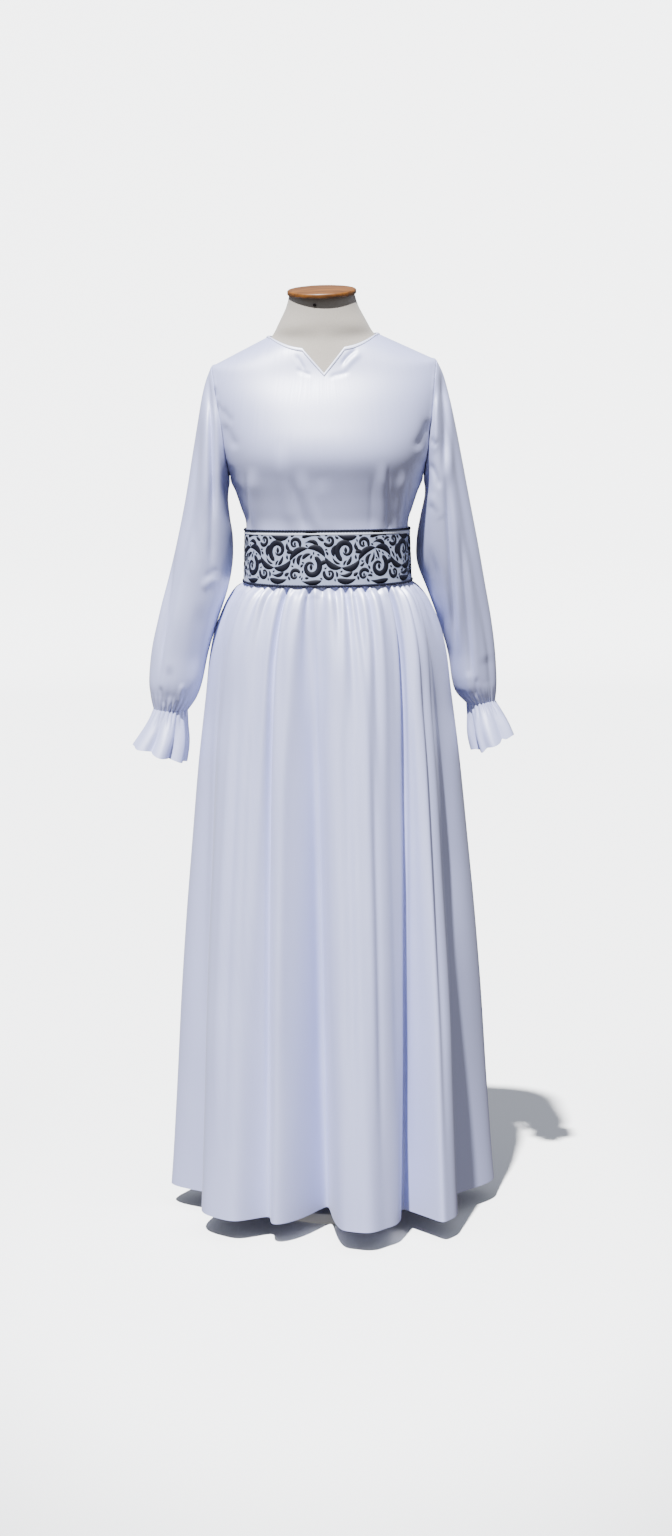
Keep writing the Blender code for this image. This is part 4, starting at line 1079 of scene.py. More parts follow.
def bodice_grid(facing, creases):
    """Mid points and normals of a whole bodice panel, and the columns of a shoulder.

    Facing -1 is the front. A column runs up the panel, a row from side to side.
    """
    half_columns = PANEL_COLUMNS * BODICE_COLUMN_STEPS
    u = np.arange(half_columns + 1) / half_columns
    shares = panel_shares()
    side_x, side_z = side_edge(shares)
    top_x, top_z = neck_edge(facing, u)
    pull = (shares**2)[:, None]
    centre_z = mix(WAIST_SEAM, NOTCH_APEX, shares) + (top_z[0] - NOTCH_APEX) * shares**2
    bottom_x = side_x[0] * np.sin(u * math.pi / 2.0)
    x = side_x[:, None] * u + mix(bottom_x - side_x[0] * u, top_x - side_x[-1] * u, pull)
    z = mix(centre_z[:, None], side_z[:, None], u)
    z += pull * (top_z - mix(top_z[0], side_z[-1], u))
    x = np.concatenate([-x[:, :0:-1], x], axis=1)
    z = np.concatenate([z[:, :0:-1], z], axis=1)
    grid = body_points(x, z, facing)
    inner = smooth_step((np.abs(grid[..., 1]) - SEAM_KEEP) / SEAM_KEEP_RUN)
    grid = mix(grid, softened(grid, BODICE_SOFTENING), inner[..., None])
    shoulder = int(round((1.0 - NECK_SHARE) * half_columns))
    grid[:, 0, 1] = facing * np.maximum(np.abs(grid[:, 0, 1]), SEAM_GAP / 2.0)
    grid[:, -1, 1] = facing * np.maximum(np.abs(grid[:, -1, 1]), SEAM_GAP / 2.0)
    for ends in (slice(0, shoulder + 1), slice(-shoulder - 1, None)):
        grid[-1, ends, 1] = facing * SEAM_GAP / 2.0
    if facing > 0:
        grid = grid[:, ::-1]
    fade_edge = smooth_step(np.abs(grid[..., 1]) / SEAM_KEEP_RUN)
    relief = crease_relief(grid[..., 0], grid[..., 2], creases, cloth().crease_scale)
    seam_rows = len(SIDE_ROWS) * BODICE_ROW_STEPS
    relief = relief * fade_edge + seam_relief(grid, seam_rows + 2)
    grid = raise_grid(grid, relief, closed=False)
    normals = grid_normals(grid, closed=False)
    level_row(normals, 0)
    for end in (0, -1):
        normals[:seam_rows, end, 1] = 0.0
    slope = Vector((NECK_POINT - SHOULDER_TIP, 0.0, SHOULDER_REACH - NECK_REACH)).normalized()
    for ends in (slice(0, shoulder + 1), slice(-shoulder - 1, None)):
        side = np.sign(grid[-1, ends, 0])
        normals[-1, ends] = np.stack(
            [side * slope.x, np.zeros_like(side), np.full_like(side, slope.z)], axis=-1
        )
    normals /= np.linalg.norm(normals, axis=2, keepdims=True)
    return grid, normals, shoulder


class DRESS_OT_bodice(bpy.types.Operator):
    """Make both bodice panels of thin satin, with their soft folds"""

    bl_idname = "dress.bodice"
    bl_label = "Bodice"

    def execute(self, context):
        for facing, name, creases in (
            (-1.0, "bodice_front", BODICE_CREASES),
            (1.0, "bodice_back", BACK_CREASES),
        ):
            grid, normals, _ = bodice_grid(facing, creases)
            satin_piece(name, grid, normals, False)
        return {"FINISHED"}


def strip_points(grid, normals, columns, width):
    """Points on the cloth at a distance down from its top edge, with their normals."""
    found = []
    for j in columns:
        line = grid[::-1, j]
        steps = np.linalg.norm(np.diff(line, axis=0), axis=1)
        reach = np.concatenate([[0.0], np.cumsum(steps)])
        point = np.array([np.interp(width, reach, line[:, axis]) for axis in range(3)])
        lines = normals[::-1, j]
        normal = np.array([np.interp(width, reach, lines[:, axis]) for axis in range(3)])
        found.append((point, normal / np.linalg.norm(normal)))
    return found


def binding_stations():
    """Round the neck edge: a point on it, a point on the cloth below it, and their normals."""
    stations = []
    for facing, creases in ((-1.0, BODICE_CREASES), (1.0, BACK_CREASES)):
        grid, normals, shoulder = bodice_grid(facing, creases)
        last = grid.shape[1] - 1 - shoulder
        columns = range(shoulder + 2, last - 1)
        lows = strip_points(grid, normals, columns, BINDING_WIDTH)
        for j, (low, low_normal) in zip(columns, lows):
            stations.append((grid[-1, j], normals[-1, j], low, low_normal))
        neck_point = grid[-1, last].copy()
        neck_point[1] = 0.0
        along = grid[-1, last + 4] - grid[-1, last]
        low = neck_point + along / np.linalg.norm(along) * BINDING_WIDTH
        stations.append((neck_point, normals[-1, last], low, normals[-1, last]))
    return stations


class DRESS_OT_binding(bpy.types.Operator):
    """Make the narrow rounded strip round the neck, on the panels' own points"""

    bl_idname = "dress.binding"
    bl_label = "Neck binding"

    def execute(self, context):
        rings = []
        for edge, edge_normal, low, low_normal in binding_stations():
            ring = []
            for across, rise in BINDING_SECTION:
                normal = mix(edge_normal, low_normal, across)
                normal = normal / np.linalg.norm(normal)
                height = PACKED_CLOTH / 2.0 + rise * BINDING_RISE
                ring.append(mix(edge, low, across) + normal * height)
            rings.append(ring)
        piece = tube_piece("neck_binding_strip", np.array(rings), binding_material())
        dress_piece(piece, "binding_satin", "neck_binding")
        return {"FINISHED"}


def tube_piece(name, rings, material):
    """A closed ring of closed sections: rings has one row of section points per station."""
    count, sides = rings.shape[:2]
    cell = np.arange((count + 1) * (sides + 1)).reshape(count + 1, sides + 1)
    vertex = np.arange(count * sides).reshape(count, sides)
    vertex = np.concatenate([vertex, vertex[:1]], axis=0)
    vertex = np.concatenate([vertex, vertex[:, :1]], axis=1)
    faces = quads(cell[:-1, :-1], cell[1:, :-1], cell[1:, 1:], cell[:-1, 1:])
    loop = np.concatenate([rings, rings[:1]], axis=0)
    loop = np.concatenate([loop, loop[:, :1]], axis=1)
    steps_u = np.linalg.norm(np.diff(loop, axis=0), axis=2).mean(axis=1)
    steps_v = np.linalg.norm(np.diff(loop, axis=1), axis=2).mean(axis=0)
    u = np.concatenate([[0.0], np.cumsum(steps_u)])
    v = np.concatenate([[0.0], np.cumsum(steps_v)])
    flat = np.stack(np.meshgrid(u, v, indexing="ij"), axis=-1).reshape(-1, 2)
    piece = flat_mapped_piece(
        name, rings.reshape(-1, 3), vertex.reshape(-1)[faces], flat[faces], material
    )
    turn_outwards(piece)
    return piece


def turn_outwards(piece):
    """Make the faces of a closed piece point outwards."""
    select_only(piece)
    bpy.ops.object.mode_set(mode="EDIT")
    bpy.ops.mesh.select_all(action="SELECT")
    bpy.ops.mesh.normals_make_consistent(inside=False)
    bpy.ops.object.mode_set(mode="OBJECT")


def select_only(piece):
    bpy.ops.object.select_all(action="DESELECT")
    piece.select_set(True)
    bpy.context.view_layer.objects.active = piece


def gather_wave(angles, count, seed):
    """Uneven small gathers round a wrist, between -1 and 1."""
    chance = random.Random(seed)
    marks = np.cumsum([chance.uniform(0.6, 1.4) for _ in range(count)])
    marks = marks / marks[-1] * FULL_TURN
    depths = np.array([chance.uniform(0.55, 1.0) for _ in range(count)])
    edges = np.concatenate([[0.0], marks])
    index = np.clip(np.searchsorted(edges, angles, side="right") - 1, 0, count - 1)
    share = (angles - edges[index]) / (edges[index + 1] - edges[index])
    return depths[index] * (2.0 * np.sin(math.pi * share) ** 2 - 1.0)


def ring_grid(table, side, positions, angles):
    """Rings of a sleeve or frill: angle 0 is the outer edge and 90 the front."""
    at = {
        name: smooth_line([getattr(row, name) for row in table], positions)[:, None]
        for name in SleeveRing._fields
    }
    across = (1.0 + np.cos(angles)) / 2.0
    x = side * mix(at["inner_x"], at["outer_x"], across)
    y = at["middle_y"] - at["half_depth"] * np.sin(angles)
    z = mix(at["inner_z"], at["outer_z"], across)
    return np.stack([x, y, z], axis=-1)


def shift_radially(grid, amounts):
    """Move each ring's points level away from its middle."""
    away = grid - grid.mean(axis=1, keepdims=True)
    away[..., 2] = 0.0
    away /= np.linalg.norm(away, axis=2, keepdims=True)
    return grid + away * amounts[..., None]


def sleeve_grid(table, side, creases, seed):
    """Mid points of a sleeve from wrist to armhole, folds and shirring included."""
    angles = np.arange(SLEEVE_COLUMNS) / SLEEVE_COLUMNS * FULL_TURN
    shares = np.linspace(0.0, 1.0, SLEEVE_ROWS)
    grid = ring_grid(table, side, shares * (len(table) - 1), angles)
    edge_share = smooth_step(shares / SLEEVE_CREASE_RUN)[:, None]
    groove = bell(apart_round(np.degrees(angles), SLEEVE_FOLD_ANGLE), SLEEVE_FOLD_WIDTH)
    fold = -SLEEVE_FOLD_DEPTH * np.sin(math.pi * shares)[:, None] * groove
    wrist = smooth_step((shares - SHIRRING_START) / SHIRRING_RUN)[:, None]
    gathers = gather_wave(angles, cloth().wrist_gathers, seed)
    shirring = cloth().wrist_gather_depth * wrist * gathers
    grid = shift_radially(grid, fold * edge_share + shirring)
    front = smooth_step(np.sin(angles) / SLEEVE_SIDE_BLEND)
    back = smooth_step(-np.sin(angles) / SLEEVE_SIDE_BLEND)
    mirrored = [
        crease._replace(x_top=side * crease.x_top, x_low=side * crease.x_low,
                        bow=side * crease.bow)
        for crease in SLEEVE_BACK_CREASES
    ]
    scale = cloth().crease_scale
    relief = crease_relief(grid[..., 0], grid[..., 2], creases, scale) * front
    relief += crease_relief(grid[..., 0], grid[..., 2], mirrored, scale) * back
    grid = shift_radially(grid, relief * edge_share)
    underside = (1.0 - np.cos(angles)) / 2.0
    hanging = smooth_step((underside - HANG_START) / (HANG_END - HANG_START))
    clearance = mix(SEAM_GAP, PACKED_CLOTH + 3.0 * SEAM_GAP, hanging)
    near = (1.0 - smooth_step(shares / ARMHOLE_GAP_RUN))[:, None]
    grid[..., 0] += side * clearance * near
    grid = grid[::-1]
    if side > 0:
        grid = grid[:, ::-1]
    return grid


class DRESS_OT_sleeves(bpy.types.Operator):
    """Make both sleeves, gathered at the wrist"""

    bl_idname = "dress.sleeves"
    bl_label = "Sleeves"

    def execute(self, context):
        for name, table, side, creases, seed in (
            ("sleeve_left", LEFT_SLEEVE, -1.0, LEFT_SLEEVE_CREASES, LEFT_WRIST_SEED),
            ("sleeve_right", RIGHT_SLEEVE, 1.0, RIGHT_SLEEVE_CREASES, RIGHT_WRIST_SEED),
        ):
            grid = sleeve_grid(table, side, creases, seed)
            normals = grid_normals(grid, closed=True)
            level_row(normals, 0)
            satin_piece(name, grid, normals, True)
        return {"FINISHED"}


def frill_grid(table, side, ruffles, seed):
    """Mid points of a cuff frill from its hem to the wrist, ruffles included."""
    angles = np.arange(FRILL_COLUMNS) / FRILL_COLUMNS * FULL_TURN
    shares = np.linspace(0.0, 1.0, FRILL_ROWS)
    grid = ring_grid(table, side, shares * (len(table) - 1), angles)
    degrees = np.degrees(angles)
    out = np.zeros_like(degrees)
    drop = np.zeros_like(degrees)
    for ruffle in ruffles:
        swell = bell(apart_round(degrees, ruffle.angle), ruffle.width)
        out += ruffle.out_mm * MM * swell
        drop += ruffle.drop_mm * MM * swell
    growth = smooth_step(shares)[:, None]
    gathers = gather_wave(angles, cloth().wrist_gathers, seed)
    wrist = 1.0 - smooth_step(shares / FRILL_SHIRRING_RUN)[:, None]
    shirring = cloth().wrist_gather_depth * wrist * gathers
    grid = shift_radially(grid, out * growth + shirring)
    grid[..., 2] -= drop * growth + SEAM_GAP
    grid = grid[::-1]
    if side > 0:
        grid = grid[:, ::-1]
    return grid


class DRESS_OT_frills(bpy.types.Operator):
    """Make the gathered frills below both wrists"""

    bl_idname = "dress.frills"
    bl_label = "Cuff frills"

    def execute(self, context):
        for name, table, side, ruffles, seed in (
            ("cuff_frill_left", LEFT_FRILL, -1.0, LEFT_RUFFLES, LEFT_WRIST_SEED),
            ("cuff_frill_right", RIGHT_FRILL, 1.0, RIGHT_RUFFLES, RIGHT_WRIST_SEED),
        ):
            grid = frill_grid(table, side, ruffles, seed)
            normals = grid_normals(grid, closed=True)
            level_row(normals, -1)
            satin_piece(name, grid, normals, True)
        return {"FINISHED"}


def waist_gathers():
    """The front's own gathers, and uneven ones round the back."""
    chance = random.Random(BACK_GATHERS_SEED)
    gathers = list(FRONT_GATHERS)
    angle = BACK_GATHERS_START
    while angle < BACK_GATHERS_END:
        gathers.append(WaistGather(
            angle, chance.uniform(*BACK_GATHER_WIDTHS), chance.uniform(*BACK_GATHER_DEPTHS_MM),
            chance.uniform(*BACK_GATHER_RUNS),
        ))
        angle += chance.uniform(*BACK_GATHER_STEPS)
    return gathers


def skirt_heights():
    """Heights of the skirt's rows from the hem up to the waist seam."""
    close = np.linspace(WAIST_SEAM, SKIRT_CLOSE_END, SKIRT_CLOSE_ROWS, endpoint=False)
    steps = int((SKIRT_CLOSE_END - HEM) / SKIRT_ROW_STEP)
    rest = np.linspace(SKIRT_CLOSE_END, HEM, steps + 1)
    return np.concatenate([close, rest])[::-1]


def fold_columns(spread, gather):
    """Each column's angle, how far the folds move it out, and its angle at the waist."""
    growth = spread**FOLD_GROWTH
    steps = np.arange(SKIRT_COLUMNS_PER_FOLD) / SKIRT_COLUMNS_PER_FOLD
    angles, outs, waist_angles = [], [], []
    for index, fold in enumerate(SKIRT_FOLDS):
        following = SKIRT_FOLDS[(index + 1) % len(SKIRT_FOLDS)]
        turn = 360.0 if index + 1 == len(SKIRT_FOLDS) else 0.0
        start = mix(fold.waist_angle, fold.hem_angle, spread)
        end = mix(following.waist_angle, following.hem_angle, spread) + turn
        out_start = (fold.waist_mm * gather + fold.hem_mm * growth) * MM
        out_end = (following.waist_mm * gather + following.hem_mm * growth) * MM
        angles.append(mix(start, end, steps))
        outs.append(mix(out_start, out_end, smooth_step(steps)))
        waist_angles.append(mix(fold.waist_angle, following.waist_angle + turn, steps))
    angles = np.radians(np.concatenate(angles, axis=1))
    return angles, np.concatenate(outs, axis=1), np.concatenate(waist_angles)


def skirt_grid():
    """Mid points of the whole skirt from hem to waist, folds and gathers included."""
    heights = skirt_heights()[:, None]
    side, front, back = (
        table_value(SKIRT_SECTIONS, column, heights) for column in ("side", "front", "back")
    )
    waist = SKIRT_SECTIONS[0].side
    hem = SKIRT_SECTIONS[-1].side
    spread = (side - waist) / (hem - waist)
    gather = smooth_step((GATHER_START - heights) / (GATHER_START - GATHER_FULL))
    gather = gather * (1.0 - smooth_step((GATHER_FULL - heights) / (GATHER_FULL - GATHER_END)))
    angles, outs, waist_angles = fold_columns(spread, gather)
    depth = np.where(np.cos(angles) > 0, front, back)
    squareness = mix(BODY_SQUARENESS, HEM_SQUARENESS, spread)
    grid = section_points(angles, side, depth, heights, squareness)
    away = grid.copy()
    away[..., 2] = 0.0
    away /= np.linalg.norm(away, axis=2, keepdims=True)
    grid = grid + away * outs[..., None]
    for _ in range(LOBE_SOFTENING):
        beside = np.roll(grid, 1, axis=1) + np.roll(grid, -1, axis=1)
        grid = (2.0 * grid + beside) / 4.0
    return raise_grid(grid, skirt_relief(waist_angles, heights), closed=True)


def skirt_relief(waist_angles, heights):
    """Small gathers under the belt and long soft waves further down, in metres."""
    relief = np.zeros((len(heights), len(waist_angles)))
    under_belt = smooth_step((GATHER_LINE - heights) / GATHER_LINE_RUN)
    for gather in waist_gathers():
        apart = apart_round(waist_angles, gather.angle)
        down = (GATHER_FADE_START - heights) / gather.run
        depth = gather.depth_mm * MM * under_belt * (1.0 - smooth_step(down))
        width = gather.width * (1.0 + GATHER_WIDENING * np.clip(down, 0.0, 1.0))
        relief -= depth * bell(apart, width)
        relief += GATHER_SWELL * depth * bell(np.abs(apart) - GATHER_SWELL_PLACE * width, width)
    for wave in LONG_WAVES:
        starting = smooth_step((wave.top - heights) / WAVE_RUN_TOP)
        ending = smooth_step((heights - wave.low) / WAVE_RUN_LOW)
        swell = bell(apart_round(waist_angles, wave.angle), wave.width)
        relief += wave.rise_mm * MM * starting * ending * swell
    return relief * cloth().crease_scale


class DRESS_OT_skirt(bpy.types.Operator):
    """Make the skirt's front and back, split at the side seams"""

    bl_idname = "dress.skirt"
    bl_label = "Skirt"

    def execute(self, context):
        grid = skirt_grid()
        normals = grid_normals(grid, closed=True)
        level_row(normals, 0)
        level_row(normals, -1)
        names = [fold.name for fold in SKIRT_FOLDS]
        count = grid.shape[1]
        left = names.index("left side seam") * SKIRT_COLUMNS_PER_FOLD
        right = names.index("right side seam") * SKIRT_COLUMNS_PER_FOLD
        for name, first, last in (
            ("skirt_front", left, right),
            ("skirt_back", right, left + count),
        ):
            picked = np.arange(first, last + 1) % count
            part = grid[:, picked].copy()
            for end, neighbour in ((0, 1), (-1, -2)):
                inward = part[:, neighbour] - part[:, end]
                inward /= np.linalg.norm(inward, axis=1, keepdims=True)
                part[:, end] += inward * SEAM_GAP / 2.0
            satin_piece(name, part, normals[:, picked], False)
        return {"FINISHED"}


def waist_rings(heights, outset, columns):
    """Rings round the waist, moved out from the mid points of the body."""
    angles = np.arange(columns) / columns * FULL_TURN
    heights = np.asarray(heights, dtype=float)[:, None]
    side, front, back = (
        table_value(BODY_SECTIONS, column, heights) + outset for column in ("side", "front", "back")
    )
    depth = np.where(np.cos(angles) > 0, front, back)
    return section_points(angles, side, depth, heights, BODY_SQUARENESS)


def belt_arch(points):
    """How far the belt's upper edge is lifted at the front."""
    depth = table_value(BODY_SECTIONS, "front", BELT_TOP)
    return BELT_ARCH * np.maximum(0.0, -points[..., 1] / depth)


def belt_grid(outset, columns, rows):
    """Rows of the belt from its bottom to its arched top, this far out of the body's middle."""
    shares = np.linspace(0.0, 1.0, rows)
    grid = waist_rings(mix(BELT_BOTTOM, BELT_TOP, shares), outset, columns)
    grid[..., 2] += belt_arch(grid) * shares[:, None]
    return grid


def belt_middle():
    """Mid points of the belt's wall, and its level normals."""
    grid = belt_grid(BELT_OUTSET, BELT_COLUMNS, BELT_ROWS)
    normals = grid_normals(grid, closed=True)
    for row in range(BELT_ROWS):
        level_row(normals, row)
    return grid, normals


class DRESS_OT_belt(bpy.types.Operator):
    """Make the belt's woven band"""

    bl_idname = "dress.belt"
    bl_label = "Belt band"

    def execute(self, context):
        grid, normals = belt_middle()
        wall = normals * BELT_HALF_WALL
        belt = wall_piece("belt_band_cloth", grid + wall, grid - wall, True, brocade_material())
        dress_piece(belt, "belt_brocade", "belt_band")
        return {"FINISHED"}


def volute_line(volute):
    """Centre line and half-widths of a spiral stroke, in millimetres."""
    share = np.linspace(0.0, 1.0, VOLUTE_STEPS)
    radius = mix(volute.outer, volute.inner, share**0.85)
    angle = np.radians(volute.start + volute.sweep * share)
    x = volute.x + radius * np.cos(angle)
    z = volute.z + radius * np.sin(angle)
    half = volute.width / 2.0 * np.sin(math.pi * np.clip(share, 0.0, 1.0) ** 0.55) ** 0.5
    return np.stack([x, z], axis=-1), np.maximum(half * mix(1.0, 0.60, share), THINNEST_STROKE)


def leaf_line(leaf):
    """Centre line and half-widths of a comma-shaped leaf, in millimetres."""
    share = np.linspace(0.0, 1.0, LEAF_STEPS)
    start = np.array([leaf.x1, leaf.z1], dtype=float)
    end = np.array([leaf.x2, leaf.z2], dtype=float)
    along = end - start
    length = np.linalg.norm(along)
    across = np.array([-along[1], along[0]]) / length
    bow = leaf.bow * 4.0 * share * (1.0 - share)
    line = start + along * share[:, None] + across * bow[:, None]
    swell = share ** (math.log(0.5) / math.log(leaf.bulb))
    half = np.maximum(leaf.width / 2.0 * np.sin(math.pi * swell) ** 0.65, THINNEST_STROKE)
    return line, half


def unit_strokes():
    """The strokes of one repeat: volutes with a round seed in each, and leaves."""
    strokes = [volute_line(volute) for volute in VOLUTES]
    strokes += [leaf_line(leaf) for leaf in LEAVES]
    for volute in VOLUTES:
        radius = volute.inner + SEED_MARGIN
        strokes.append(leaf_line(Leaf(
            volute.x - radius / 2.0, volute.z, volute.x + radius / 2.0, volute.z, 0.0,
            SEED_WIDTH * radius, 0.5,
        )))
    return strokes


def repeated(line, half):
    """A stroke's points and half-widths, and those of its copies in the repeats beside it."""
    return np.concatenate([
        np.concatenate([line + np.array([shift, 0.0]), half[:, None]], axis=1)
        for shift in (-UNIT_WIDTH, 0.0, UNIT_WIDTH)
    ])


def filled_unit(seed):
    """The unit's strokes with small commas set into the gaps between them."""
    strokes = unit_strokes()
    taken = np.concatenate([repeated(line, half) for line, half in strokes])
    chance = random.Random(seed)
    for attempt in range(FILL_TRIES):
        x = chance.uniform(0.0, UNIT_WIDTH)
        z = chance.uniform(FILL_LOW, FILL_HIGH)
        length = FILL_LENGTHS[attempt * len(FILL_LENGTHS) // FILL_TRIES]
        width = min(length * FILL_SLIMNESS, chance.uniform(*FILL_WIDTHS))
        turn = chance.uniform(0.0, math.pi)
        bow = chance.uniform(-FILL_BOW, FILL_BOW) * length
        dx = math.cos(turn) * length / 2.0
        dz = math.sin(turn) * length / 2.0
        line, half = leaf_line(Leaf(x - dx, z - dz, x + dx, z + dz, bow, width, FILL_BULB))
        if line[:, 1].min() < FILL_FLOOR or line[:, 1].max() > FILL_CEILING:
            continue
        apart = np.linalg.norm(line[:, None] - taken[None, :, :2], axis=2)
        clear = apart - half[:, None] - taken[None, :, 2]
        if clear.min() < FILL_GAP:
            continue
        strokes.append((line, half))
        taken = np.concatenate([taken, repeated(line, half)])
    return strokes


class BeltFace:
    """Maps metres along the belt, and shares of its height, to its outer face."""

    def __init__(self):
        grid, normals = belt_middle()
        grid = grid + normals * BELT_HALF_WALL
        self.grid = np.concatenate([grid, grid[:, :1]], axis=1)
        self.normals = np.concatenate([normals, normals[:, :1]], axis=1)
        steps = np.linalg.norm(np.diff(self.grid[BELT_ROWS // 2], axis=0), axis=1)
        self.reach = np.concatenate([[0.0], np.cumsum(steps)])
        self.length = self.reach[-1]

    def points(self, along, share, lift):
        column = np.interp(np.mod(along, self.length), self.reach, np.arange(len(self.reach)))
        row = np.clip(share, 0.0, 1.0) * (BELT_ROWS - 1)
        j = np.minimum(column.astype(int), BELT_COLUMNS - 1)
        i = np.minimum(row.astype(int), BELT_ROWS - 2)
        found = []
        for source in (self.grid, self.normals):
            low = mix(source[i, j], source[i, j + 1], (column - j)[:, None])
            high = mix(source[i + 1, j], source[i + 1, j + 1], (column - j)[:, None])
            found.append(mix(low, high, (row - i)[:, None]))
        return found[0] + found[1] * lift


def stitched_rings(face, line, half, start_mm, stretch):
    """Sections of one raised stroke on the belt's face, a ring to each point of its line."""
    tangent = np.gradient(line, axis=0)
    tangent /= np.linalg.norm(tangent, axis=1, keepdims=True)
    side = np.stack([-tangent[:, 1], tangent[:, 0]], axis=-1)
    band = BELT_TOP - BELT_BOTTOM
    rings = []
    for point in STITCH_SECTION:
        spot = line + side * (half * point.across)[:, None]
        along = (spot[:, 0] + start_mm) * MM * stretch
        lift = point.rise * cloth().scroll_rise
        rings.append(face.points(along, spot[:, 1] * MM / band, lift))
    return np.stack(rings, axis=1)


class DRESS_OT_scrolls(bpy.types.Operator):
    """Make the satin-stitched scrolls, each a closed low ribbon on the belt's face"""

    bl_idname = "dress.scrolls"
    bl_label = "Belt scrolls"

    def execute(self, context):
        face = BeltFace()
        stretch = face.length / (BELT_REPEATS * UNIT_WIDTH * MM)
        units = [filled_unit(seed) for seed in FILL_SEEDS]
        points, faces = [], []
        first = 0
        for repeat in range(BELT_REPEATS):
            start_mm = (repeat - 0.5) * UNIT_WIDTH
            for line, half in units[repeat % len(units)]:
                rings = stitched_rings(face, line, half, start_mm, stretch)
                ids = np.arange(rings.shape[0] * rings.shape[1]).reshape(rings.shape[:2]) + first
                following = np.roll(ids, -1, axis=1)
                faces += quads(ids[:-1], ids[1:], following[1:], following[:-1]).tolist()
                faces.append(ids[0][::-1].tolist())
                faces.append(ids[-1].tolist())
                points.append(rings.reshape(-1, 3))
                first += ids.size
        piece = linked_piece("belt_scrolls", np.concatenate(points), faces, mottled_material("thread"))
        turn_outwards(piece)
        dress_piece(piece, "navy_piping")
        return {"FINISHED"}


def cord_rings(centres, radius, flatten):
    """Sections of a twisted cord round a closed line of centres."""
    along = np.roll(centres, -1, axis=0) - np.roll(centres, 1, axis=0)
    along /= np.linalg.norm(along, axis=1, keepdims=True)
    out = np.cross(along, np.array([0.0, 0.0, 1.0]))
    out /= np.linalg.norm(out, axis=1, keepdims=True)
    up = np.cross(out, along)
    steps = np.linalg.norm(np.roll(centres, -1, axis=0) - centres, axis=1)
    reach = np.concatenate([[0.0], np.cumsum(steps)[:-1]])
    turns = round(steps.sum() / EDGE_TWIST_PITCH)
    angles = np.arange(EDGE_SIDES) / EDGE_SIDES * FULL_TURN
    phase = reach[:, None] / steps.sum() * turns * FULL_TURN
    swell = radius * (1.0 + EDGE_STRAND_SWELL * np.cos(EDGE_STRANDS * angles + phase))
    return (
        centres[:, None]
        + out[:, None] * (swell * np.cos(angles))[..., None]
        + up[:, None] * (swell * np.sin(angles) * flatten)[..., None]
    )


class DRESS_OT_belt_edges(bpy.types.Operator):
    """Make the two twisted cords on the belt's edges and the white line"""

    bl_idname = "dress.belt_edges"
    bl_label = "Belt edges"

    def execute(self, context):
        face = BELT_OUTSET + BELT_HALF_WALL
        top = waist_rings([BELT_TOP], face + TOP_EDGE_STANDOFF, EDGE_COLUMNS)[0]
        top[:, 2] += belt_arch(top)
        bottom = waist_rings([BELT_BOTTOM], face + BOTTOM_EDGE_STANDOFF, EDGE_COLUMNS)[0]
        bottom[:, 2] -= BOTTOM_EDGE_DROP
        for name, node, centres, radius, flatten in (
            ("belt_top_edge", "belt_top_trim", top, TOP_EDGE_RADIUS, TOP_EDGE_FLATTENING),
            ("belt_bottom_edge", "belt_bottom_trim", bottom, BOTTOM_EDGE_RADIUS, 1.0),
        ):
            cord = tube_piece(name, cord_rings(centres, radius, flatten), mottled_material("cord"))
            dress_piece(cord, "navy_piping", node)
        line = belt_grid(face, WHITE_LINE_COLUMNS, WHITE_LINE_ROWS)
        rows = [row for row, _ in WHITE_LINE]
        rise = np.array([rise_mm for _, rise_mm in WHITE_LINE]) * MM
        normals = grid_normals(line, closed=True)[rows]
        outer = line[rows] + normals * rise[:, None, None]
        inner = line[rows] - normals * WHITE_LINE_ROOT
        braid = wall_piece("belt_white_line", outer, inner, True, mottled_material("braid"))
        dress_piece(braid, "belt_brocade")
        return {"FINISHED"}


def form_grid():
    """Rings of the padded torso, from its underside to the top of its tilted neck."""
    heights = np.arange(FORM_SECTIONS[0].height, FORM_SECTIONS[-1].height, FORM_ROW_STEP)
    heights = np.append(heights, FORM_SECTIONS[-1].height)[:, None]
    angles = np.arange(FORM_COLUMNS) / FORM_COLUMNS * FULL_TURN
    at = {
        name: table_value(FORM_SECTIONS, name, heights)
        for name in ("side", "front", "back", "squareness")
    }
    depth = np.where(np.cos(angles) > 0, at["front"], at["back"])
    grid = section_points(angles, at["side"] - FORM_INSET, depth - FORM_INSET, heights,
                          at["squareness"])
    grid = softened(grid, FORM_SOFTENING)
    tilt = smooth_step((heights - NECK_TILT_START) / NECK_TILT_RUN)
    grid[..., 2] += tilt * NECK_TILT * grid[..., 1]
    return grid


class DRESS_OT_form_torso(bpy.types.Operator):
    """Make the padded torso, one skin closed at its underside and at its neck"""

    bl_idname = "dress.form_torso"
    bl_label = "Form torso"

    def execute(self, context):
        grid = form_grid()
        low_end, high_end = (
            [mix(row.mean(axis=0), row, share) for share in FORM_END_RINGS]
            for row in (grid[0], grid[-1])
        )
        grid = np.concatenate([low_end[::-1], grid, high_end])
        rows, columns = grid.shape[:2]
        middles = [grid[0].mean(axis=0), grid[-1].mean(axis=0)]
        points = np.concatenate([grid.reshape(-1, 3), middles])
        ids = np.arange(rows * columns).reshape(rows, columns)
        following = np.roll(ids, -1, axis=1)
        faces = quads(ids[:-1], following[:-1], following[1:], ids[1:]).tolist()
        low, high = rows * columns, rows * columns + 1
        faces += [[low, following[0, j], ids[0, j]] for j in range(columns)]
        faces += [[high, ids[-1, j], following[-1, j]] for j in range(columns)]
        piece = linked_piece(
            "form_torso_cover", leaned(points), faces, mottled_material("jersey"), SHARP_ANGLE
        )
        dress_piece(piece, "form_jersey", "form_torso")
        return {"FINISHED"}


def named_primitive(name, material):
    """Name the primitive that was just added and give it its material."""
    piece = bpy.context.object
    piece.name = name
    piece.data.name = name
    piece.data.materials.clear()
    piece.data.materials.append(material)
    return piece


